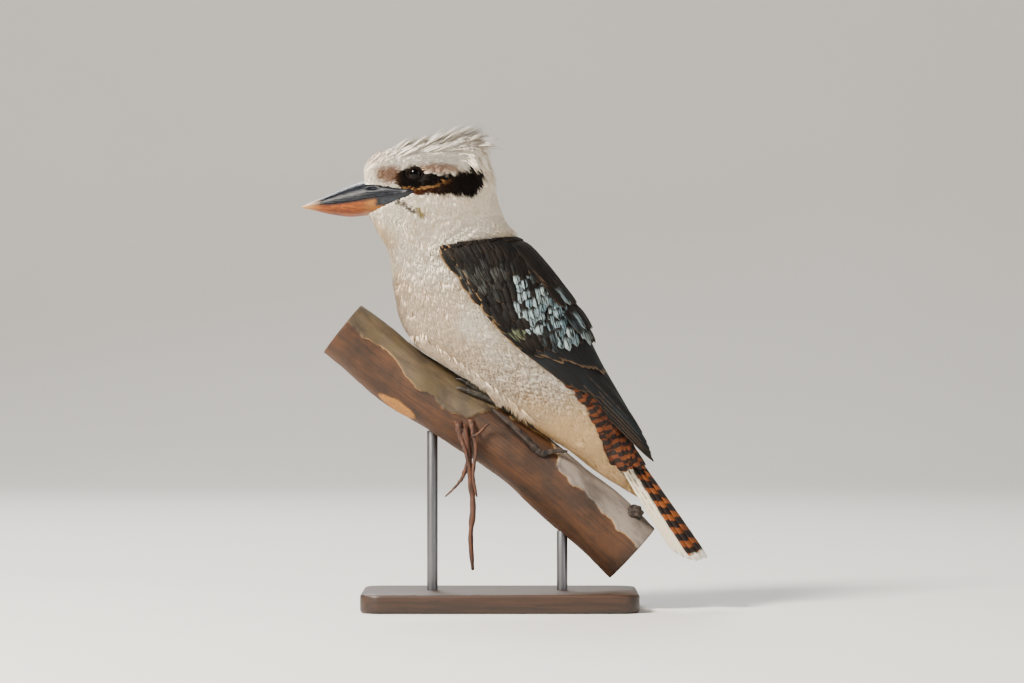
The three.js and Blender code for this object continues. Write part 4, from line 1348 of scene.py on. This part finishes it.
def make_bill(upper, paint):
    """One half of the bill, with a ridge along it, a cutting edge, and a base that hugs the face."""
    name = "bill_upper" if upper else "bill_lower"

    def place(u, v):
        rows = between_rows(BILL_ROWS, v * (len(BILL_ROWS) - 1))
        x, top, mouth, bottom, half = np.moveaxis(rows, -1, 0)
        outside = u < BILL_OUTSIDE
        turn = np.pi * np.clip(u / BILL_OUTSIDE, 0, 1)
        inner = np.clip((u - BILL_OUTSIDE) / (1 - BILL_OUTSIDE), 0, 1)
        square = np.interp(x, [-104, -84], [0.87, 0.45])
        side = np.where(outside, -np.cos(turn), 1 - 2 * inner) * half
        high = np.where(outside, np.abs(np.sin(turn)) ** square, 0)
        keel = np.exp(-(side / (0.22 * half + 0.4)) ** 2) * 0.5 * np.sin(np.pi * np.clip(v, 0, 1)) ** 0.5
        edge = mouth + (0.15 if upper else -0.15)
        far = (top + keel) if upper else (bottom - keel)
        z = edge + (far - edge) * high
        side = side * (1 + 0.02 * np.exp(-(high / 0.12) ** 2) * outside)
        if upper:
            slit = np.exp(-((x + 94) / 3.6) ** 2 - ((z - 310.8) / 0.9) ** 2)
            side = side - np.sign(side) * 1.8 * slit * (np.abs(side) > 4)
        closed = at_ends(v)
        z = np.where(closed, (edge + far) / 2, z)
        return np.stack([x, np.where(closed, 0, side), z], -1)
    piece = wrapped(72, 110, place)
    return finish(piece, name + "_horn", [name], paint)


def make_eye(side):
    """A ball with a slightly raised front."""
    bpy.ops.object.select_all(action="DESELECT")
    centre = Vector(eye_centre(side)) * MM
    radius = EYE_RADIUS * MM * 0.84
    bpy.ops.mesh.primitive_uv_sphere_add(segments=48, ring_count=24, radius=radius, location=centre)
    eye = bpy.context.object
    look = Vector(eye_look(side))
    bpy.ops.object.transform_apply(location=True, rotation=True, scale=True)
    for vertex in eye.data.vertices:
        out = vertex.co - centre
        front = max(0.0, out.normalized().dot(look))
        vertex.co = centre + out * (1 + 0.05 * front**6) + look * 0.0005
    return finish(eye, "eye_ball_" + side_name(side), ["eye_" + side_name(side)], eye_paint(side))


def make_lid(side, paint):
    """The ring of dark bare skin round the eye, thicker above, drawn to a corner in front and behind."""
    centre = eye_centre(side)
    look = eye_look(side)
    across = np.cross(look, [0, 0, 1.0])
    across /= np.linalg.norm(across)
    up = np.cross(across, look)

    def place(u, v):
        a, b = u * 2 * np.pi, v * 2 * np.pi
        wide = 5.3 + 0.75 * np.abs(np.cos(a)) ** 5
        tall = 4.5
        thick = 0.72 + 0.25 * np.sin(a)
        thick = thick + 0.07 * np.sin(23 * a)
        ring = (wide + thick * np.cos(b))[:, None] * np.cos(a)[:, None] * across
        ring = ring + (tall + thick * np.cos(b))[:, None] * np.sin(a)[:, None] * up
        return centre + ring + (4.3 + 0.8 * np.sin(b) - 0.45 * np.cos(2 * a))[:, None] * look
    piece = wrapped(64, 12, place)
    return finish(piece, "eye_lid_" + side_name(side), ["eye_" + side_name(side)], paint)


# Feet

FOOT_PLACE = 0.475
FOOT_TURN = 29
CLAW_LENGTH = 8
TOES = {
    "inner": (-24, -15, 2.4),
    "middle": (-31, 0, 2.7),
    "outer": (-27, 16, 2.5),
    "hind": (21, -4, 2.5),
}


def tube_piece(centre, radius, around=20, rows=40):
    """A round tapering form along a line of points, closed at both ends."""
    def place(u, v):
        c = centre(v)
        ahead, behind = centre(np.clip(v + 0.01, 0, 1)), centre(np.clip(v - 0.01, 0, 1))
        along = ahead - behind
        along /= np.linalg.norm(along, axis=1, keepdims=True)
        side = np.cross(along, [0, 1.0, 0.2])
        side /= np.linalg.norm(side, axis=1, keepdims=True)
        other = np.cross(along, side)
        a = u * 2 * np.pi
        r = radius(v, a)
        closed = at_ends(v)
        r = np.where(closed, 0, r)[:, None]
        return c + side * np.cos(a)[:, None] * r + other * np.sin(a)[:, None] * r
    return wrapped(around, rows, place)


def mirrored(place, side):
    """A place on the left side, moved to the given side."""
    return place * np.array([1, side, 1])


def make_foot(side, skin_paint, horn_paint):
    """Four scaled toes that grip the branch, and their claws."""
    toes, claws = [], []
    for name, (reach, spread, radius) in TOES.items():
        def toe_line(v, reach=reach, spread=spread, radius=radius):
            p = branch_point(FOOT_PLACE + reach * v / BRANCH_TOTAL, FOOT_TURN + spread * v, radius + 0.5)
            return mirrored(p, side)

        def toe_radius(v, a, radius=radius):
            shape = np.interp(v, [0, 0.25, 0.5, 0.75, 0.97, 1], [1.1, 1, 1.06, 0.9, 0.78, 0.4])
            scutes = 1 + 0.045 * np.sin(v * 2 * np.pi * 11) * np.clip(np.cos(a), 0, 1)
            pads = 1 + 0.07 * np.cos(v * 2 * np.pi * 3) * np.clip(-np.cos(a), 0, 1)
            return radius * shape * scutes * pads
        toes.append(tube_piece(toe_line, toe_radius, 16, 44))

        def claw_line(v, reach=reach, spread=spread, radius=radius):
            first, last = 0.93, 1 + CLAW_LENGTH / abs(reach)
            share = first + (last - first) * v
            rise = 0.5 + radius * 0.95 * (1 - v**1.7) + 0.8 * np.sin(np.pi * v)
            p = branch_point(FOOT_PLACE + reach * share / BRANCH_TOTAL, FOOT_TURN + spread * share, rise)
            return mirrored(p, side)

        def claw_radius(v, a, radius=radius):
            return radius * np.interp(v, [0, 0.3, 0.7, 1], [0.66, 0.56, 0.32, 0.04])
        claw = tube_piece(claw_line, claw_radius, 14, 20)
        node = "claw_" + side_name(side) + "_" + name
        claws.append(finish(claw, node + "_horn", [node], horn_paint))
    name = side_name(side)
    finish(joined(toes), "foot_skin_" + name, ["foot_" + name], skin_paint)


def make_thigh(side, paint):
    """The short feathered thigh, as a cone of tufts from the belly down to the foot."""
    top = np.array([-3, -17.0 * side, 166])
    foot = mirrored(branch_point(np.array([FOOT_PLACE]), np.array([FOOT_TURN]), 4.0), side)[0]
    n = 260
    axis = foot - top
    axis_unit = axis / np.linalg.norm(axis)
    one = np.cross(axis_unit, [0, 1.0, 0])
    one /= np.linalg.norm(one)
    two = np.cross(axis_unit, one)

    def surface(s, turn, lift=0.0):
        r = np.interp(s, [0, 1], [9.5, 4.6])
        a = np.radians(turn)
        out = np.cos(a)[..., None] * one + np.sin(a)[..., None] * two
        return top + np.asarray(s)[..., None] * axis + (r + lift)[..., None] * out
    s = draw.uniform(0, 0.75, n)
    turn = draw.uniform(0, 360, n)
    long, wide = np.full(n, 7.0), np.full(n, 2.6)
    points, faces, vane, per, _ = tufts(surface, s, turn, long, wide, 0.2, 4, 2, sunk=1.2)
    lie = np.stack([np.full(n, 9.5 / BODY_LAST), np.full(n, 0.85), draw.random(n)], -1)
    stored = {
        "seat": np.repeat(surface(s, turn, np.zeros(n)) * MM, per, axis=0),
        "lie": np.repeat(lie, per, axis=0),
    }
    maps = {"OFBake": patches(turn / 360, 0.62 + 0.1 * s, vane, per), "Vane": vane}
    name = side_name(side)
    piece = mesh_of(points, faces, maps, stored)
    return finish(piece, "thigh_feathers_" + name, ["leg_" + name], paint)


# The branch and what hangs from it

def ripple(points, size, seed):
    """Smooth random heights at points, from -1 to 1."""
    return np.array([noise.noise(Vector((p[0] / size + seed, p[1] / size, p[2] / size))) for p in points])


# The dead runner's course along the branch, as places and turns
RUNNER_T = [0.465, 0.52, 0.575, 0.615]
RUNNER_TURN = [47, 52, 58, 60]
# The points where it leaves the branch as a stub
STUB = [(31, -21, 115.8), (40, -20, 117.2), (50, -19, 117)]


def bark_wear(t, turn):
    """How far the bark has gone at places on the branch, from 0 to 1, and how high the surface lies."""
    a = np.radians(turn)
    place = branch_point(t, turn)
    fold = fold_of(turn)
    round_it = np.stack([t * 240, 14 * np.sin(a), 14 * np.cos(a)], -1)
    edge = np.interp(t, [0, 0.2, 0.42, 0.48, 0.62, 0.7, 0.85, 1], [74, 80, 76, 34, 30, 62, 78, 70])
    edge = edge + 19 * ripple(round_it, 30, 3) + 9 * ripple(place, 11, 11) + 3 * ripple(place, 4, 17)
    worn = np.clip((fold - edge) / 2.4 + 0.5, 0, 1)
    flake = 1.15 - ((t - 0.25) / 0.055) ** 2 - ((fold - 152) / 17) ** 2 + 0.5 * ripple(place, 9, 4)
    flake = np.clip(flake * 3, 0, 1) * (place[:, 1] < 0)
    # The channel under the dead runner: sunk a little here, and darkened in the bark paint, partly its
    # dark bark and partly painted shade
    run = np.abs(np.mod(turn, 360) - np.interp(t, RUNNER_T, RUNNER_TURN)) + 4 * ripple(place, 7, 30)
    run = np.clip((10 - run) / 4, 0, 1)
    run = run * np.clip((t - 0.43) / 0.03, 0, 1) * np.clip((0.66 - t) / 0.03, 0, 1)
    curl = np.exp(-((edge - fold) / 3.0 - 1.1) ** 2)
    rough = 0.3 * ripple(place, 12, 5) + 0.12 * ripple(place, 4, 9)
    lift = -0.9 * worn + 0.55 * curl + rough + 0.7 * flake - 0.8 * run
    return worn, flake, run, lift


def make_branch(bark, cut):
    """The cut length of branch: bark, bare wood, and a sawn face at each end."""
    cap = 0.03

    def course(v):
        return np.clip((v - cap) / (1 - 2 * cap), 0, 1), np.clip(np.minimum(v, 1 - v) / cap, 0, 1)

    def place(u, v):
        t, inside = course(v)
        turn = u * 360
        lift = bark_wear(t, turn)[3]
        middle = (branch_point(t, 0 * t) + branch_point(t, 0 * t + 180)) / 2
        rim = np.interp(inside, [0, 0.9, 1], [0, 0.975, 1])
        return middle + (branch_point(t, turn, lift) - middle) * rim[:, None]

    def stored(u, v):
        t, inside = course(v)
        turn = u * 360
        worn, flake, run, _ = bark_wear(t, turn)
        a = np.radians(turn)
        return {
            "bark": np.stack([worn, t, fold_of(turn) / 180], -1),
            "flakes": np.stack([run, flake, 0 * t], -1),
            "course": np.stack([t * BRANCH_TOTAL, 24 * np.sin(a), 24 * np.cos(a)], -1) * MM,
            "rings": np.stack([inside * BRANCH_RADIUS, a, 0 * t], -1),
        }
    piece = wrapped(150, 240, place, stored)
    finish(piece, "gum_branch", ["perch"], bark)
    piece.data.materials.append(cut)
    radial = np.empty(len(piece.data.vertices) * 3)
    piece.data.attributes["rings"].data.foreach_get("vector", radial)
    radial = radial.reshape(-1, 3)[:, 0]
    rim = BRANCH_RADIUS - 0.1
    sawn = [max(radial[v] for v in polygon.vertices) < rim for polygon in piece.data.polygons]
    piece.data.polygons.foreach_set("material_index", np.array(sawn, np.int32))


def line_through(points):
    """A smooth line through points, as a function of its share from 0 to 1.

    The last column is a spare, because between_rows holds the last one still beyond the ends.
    """
    rows = np.hstack([np.array(points, float), np.zeros((len(points), 1))])

    def at(v):
        return between_rows(rows, np.asarray(v) * (len(rows) - 1))[..., :3]
    return at


def make_twigs(paint):
    """The dead runner along the branch that ends in a stub, and the knot."""
    run = [tuple(branch_point(t, turn, 0.3)) for t, turn in zip(RUNNER_T, RUNNER_TURN)]

    def thick(v, a):
        knobs = 1 + 0.14 * np.sin(3 * a + 9 * v) + 0.09 * np.sin(7 * a + 41 * v) + 0.1 * np.sin(57 * v)
        taper = np.interp(v, [0, 0.12, 0.5, 0.68, 0.82, 0.95, 1], [0.6, 1.9, 2.5, 2.3, 1.5, 1.2, 0.5])
        return taper * knobs
    stub = tube_piece(line_through(run + STUB), thick, 20, 110)
    centre = branch_point(np.array([0.93]), np.array([24.0]), -1.0)[0]

    def knot_place(u, v):
        a, b = u * 2 * np.pi, (v - 0.5) * np.pi
        out = np.stack([np.cos(a) * np.cos(b), np.sin(a) * np.cos(b), np.sin(b)], -1)
        lump = 6.3 * (1 + 0.12 * np.sin(5 * a + 2 * b) + 0.1 * np.sin(9 * b + 2 * a) * np.cos(b))
        return centre + out * lump[:, None]
    knot = wrapped(48, 32, knot_place)
    finish(joined([stub, knot]), "dead_runner_and_knot", ["perch"], paint)


# The peeled strips: points in x and z, and width
STRIPS = [
    ([(-26, 139), (-23.5, 122), (-21, 98), (-19.5, 76), (-21.5, 54), (-20, 30)], 7.5),
    ([(-22.5, 112), (-27, 99), (-33, 91), (-40, 84)], 4.2),
    ([(-31, 140), (-29.5, 130), (-25.5, 119), (-22, 104)], 5.5),
    ([(-21, 141), (-19, 130), (-17.5, 118), (-19.5, 100), (-17, 84)], 4.6),
    ([(-21, 127), (-15, 131), (-9, 137), (-3.5, 139)], 4.6),
]


def make_strips(paint):
    """The peeled bark that hangs from the near side, curled as it dried."""
    made = []
    for number, (line, width) in enumerate(STRIPS):
        course = line_through([(x, 0, z) for x, z in line])

        def place(u, v, course=course, width=width, number=number):
            c = course(v)
            angle = np.radians(14 + 26 * np.sin(5 * v + 2 * number))
            half = width / 2 * (1 - 0.62 * v) * (1 + 0.1 * np.sin(31 * v) + 0.08 * np.sin(57 * v))
            a = u * 2 * np.pi
            open_end = np.where(at_ends(v), 0, 1)
            across = np.cos(a) * half * open_end
            thick = (np.sin(a) * 0.45 + 0.22 * width * (np.cos(a) ** 2 - 0.5)) * open_end
            y = -BRANCH_RADIUS - 3.5 - 0.5 * number + 1.5 * np.sin(5 * v) + 5.5 * np.exp(-(v / 0.09) ** 2)
            return np.stack([
                c[:, 0] + np.cos(angle) * across - np.sin(angle) * thick,
                y + np.sin(angle) * across + np.cos(angle) * thick,
                c[:, 2],
            ], -1)
        made.append(wrapped(20, 90, place))
    finish(joined(made), "hanging_bark_strip", ["perch_bark_strip"], paint)


# Stand, floor, light and camera

def make_base(paint):
    """The base: a block with round corners and an eased top edge."""
    low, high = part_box("stand_base")
    bpy.ops.object.select_all(action="DESELECT")
    bpy.ops.mesh.primitive_cube_add(size=1, location=(low + high) / 2, scale=high - low)
    base = bpy.context.object
    bpy.ops.object.transform_apply(location=True, rotation=True, scale=True)
    bpy.ops.object.mode_set(mode="EDIT")
    bpy.ops.mesh.select_mode(type="EDGE")
    bpy.ops.mesh.select_all(action="DESELECT")
    bpy.ops.object.mode_set(mode="OBJECT")
    for edge in base.data.edges:
        a, b = (base.data.vertices[v].co for v in edge.vertices)
        edge.select = abs(a.z - b.z) > 0.005
    bpy.ops.object.mode_set(mode="EDIT")
    bpy.ops.mesh.bevel(offset=16 * MM, segments=10, affect="EDGES")
    bpy.ops.object.mode_set(mode="OBJECT")
    bevel = base.modifiers.new("eased edge", "BEVEL")
    bevel.width, bevel.segments, bevel.limit_method = 2.4 * MM, 4, "ANGLE"
    bevel.angle_limit = math.radians(50)
    bpy.ops.object.modifier_apply(modifier=bevel.name)
    finish(base, "base_block", ["stand_base"], paint, smooth=False)
    bpy.ops.object.shade_smooth_by_angle(angle=math.radians(30))
    return base


def make_rod(number, paint):
    """A steel rod with eased ends. The foot's edge is doubled first, so its bevel is narrow and fine."""
    node = f"stand_rod_{number}"
    low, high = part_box(node)
    middle = (low + high) / 2
    radius = (high.x - low.x) / 2
    bpy.ops.object.select_all(action="DESELECT")
    bpy.ops.mesh.primitive_cylinder_add(
        vertices=48, radius=radius, depth=high.z - low.z, location=middle, end_fill_type="NGON",
    )
    rod = bpy.context.object
    bpy.ops.object.transform_apply(location=True, rotation=True, scale=True)
    bpy.ops.object.mode_set(mode="EDIT")
    bpy.ops.mesh.select_mode(type="FACE")
    bpy.ops.mesh.select_all(action="DESELECT")
    bpy.ops.object.mode_set(mode="OBJECT")
    for face in rod.data.polygons:
        face.select = face.normal.z < -0.9
    bpy.ops.object.mode_set(mode="EDIT")
    bpy.ops.mesh.extrude_region_move(TRANSFORM_OT_translate={"value": (0, 0, 0)})
    bpy.ops.object.mode_set(mode="OBJECT")
    bevel = rod.modifiers.new("eased edge", "BEVEL")
    bevel.width, bevel.segments, bevel.limit_method = 0.4 * MM, 2, "ANGLE"
    bpy.ops.object.modifier_apply(modifier=bevel.name)
    edit(lambda: bpy.ops.mesh.remove_doubles(threshold=MERGE))
    finish(rod, f"steel_rod_{number}", [node], paint, smooth=False)
    bpy.ops.object.shade_smooth_by_angle(angle=math.radians(35))
    return rod


FLOOR_FLAT = 2.5
FLOOR_BEND = 1.5


def make_floor(paint):
    """A pale floor that sweeps up behind into a wall."""
    bpy.ops.object.select_all(action="DESELECT")
    bpy.ops.mesh.primitive_grid_add(x_subdivisions=8, y_subdivisions=60, size=2)
    floor = bpy.context.object
    for vertex in floor.data.vertices:
        v = (vertex.co.y + 1) / 2
        run = -6 + 12 * v
        quarter = FLOOR_BEND * math.pi / 2
        bend = max(0.0, min(run - FLOOR_FLAT, quarter)) / FLOOR_BEND
        beyond = max(0.0, run - FLOOR_FLAT - quarter)
        vertex.co.x *= 8
        vertex.co.y = min(run, FLOOR_FLAT) + FLOOR_BEND * math.sin(bend)
        vertex.co.z = FLOOR_BEND * (1 - math.cos(bend)) + beyond
    floor.name = "floor"
    floor.data.materials.append(paint)
    floor.data.polygons.foreach_set("use_smooth", [True] * len(floor.data.polygons))


LIT_POINT = (0, 0, 0.2)


def make_light(name, place, size, power, tone=(1, 1, 1)):
    """A round soft light that faces the middle of the part."""
    light = bpy.data.lights.new(name, "AREA")
    light.shape, light.size, light.energy, light.color = "DISK", size, power, tone
    lamp = bpy.data.objects.new(name, light)
    bpy.context.collection.objects.link(lamp)
    lamp.location = place
    lamp.rotation_mode = "QUATERNION"
    lamp.rotation_quaternion = (Vector(LIT_POINT) - Vector(place)).to_track_quat("-Z", "Y")


def make_camera():
    """Looks level along +Y, with the photograph's framing of the bird."""
    camera = bpy.data.cameras.new("camera")
    camera.sensor_width, camera.lens = 36, 142.5
    camera.clip_start, camera.clip_end = 0.1, 50
    seen = bpy.data.objects.new("camera", camera)
    bpy.context.collection.objects.link(seen)
    seen.location = (8.9 * MM, -3.0, 197.9 * MM)
    seen.rotation_euler = (math.radians(90), 0, 0)
    bpy.context.scene.camera = seen


# Making it all

body_paint = plumage()
twig = twig_paint()
claw = claw_paint()
lid = lid_paint()
foot_skin = foot_paint()
covert_feather = coverts_paint()
flight_feather = flight_paint()

make_skin(body_paint)
make_coat(body_paint)
make_crest(body_paint)
for wing_side in (LEFT, RIGHT):
    make_shoulder(wing_side, body_paint)
    make_wing_bed(wing_side, covert_feather)
    make_flight(wing_side, flight_feather)
    make_coverts(wing_side, covert_feather)
    make_eye(wing_side)
    make_lid(wing_side, lid)
    make_foot(wing_side, foot_skin, claw)
    make_thigh(wing_side, body_paint)
make_tail(tail_paint())
make_rump(rump_paint())
make_bill(True, horn_upper_paint())
make_bill(False, horn_lower_paint())
make_branch(bark_paint(), cut_paint())
make_twigs(twig)
make_strips(strip_paint())
make_base(base_paint())
steel = steel_paint()
make_rod(1, steel)
make_rod(2, steel)

make_floor(floor_paint())
make_light("key", (-1.5, -1.3, 1.8), 0.7, 205, tone=(1, 0.93, 0.83))
make_light("fill", (1.9, -1.7, 0.9), 1.4, 12)
make_light("rim", (-0.6, 1.8, 1.9), 0.9, 55)
world = bpy.context.scene.world or bpy.data.worlds.new("soft light")
bpy.context.scene.world = world
world.use_nodes = True
sky = world.node_tree.nodes["Background"].inputs
sky["Color"].default_value = (1.0, 0.97, 0.93, 1)
sky["Strength"].default_value = 0.42
make_camera()
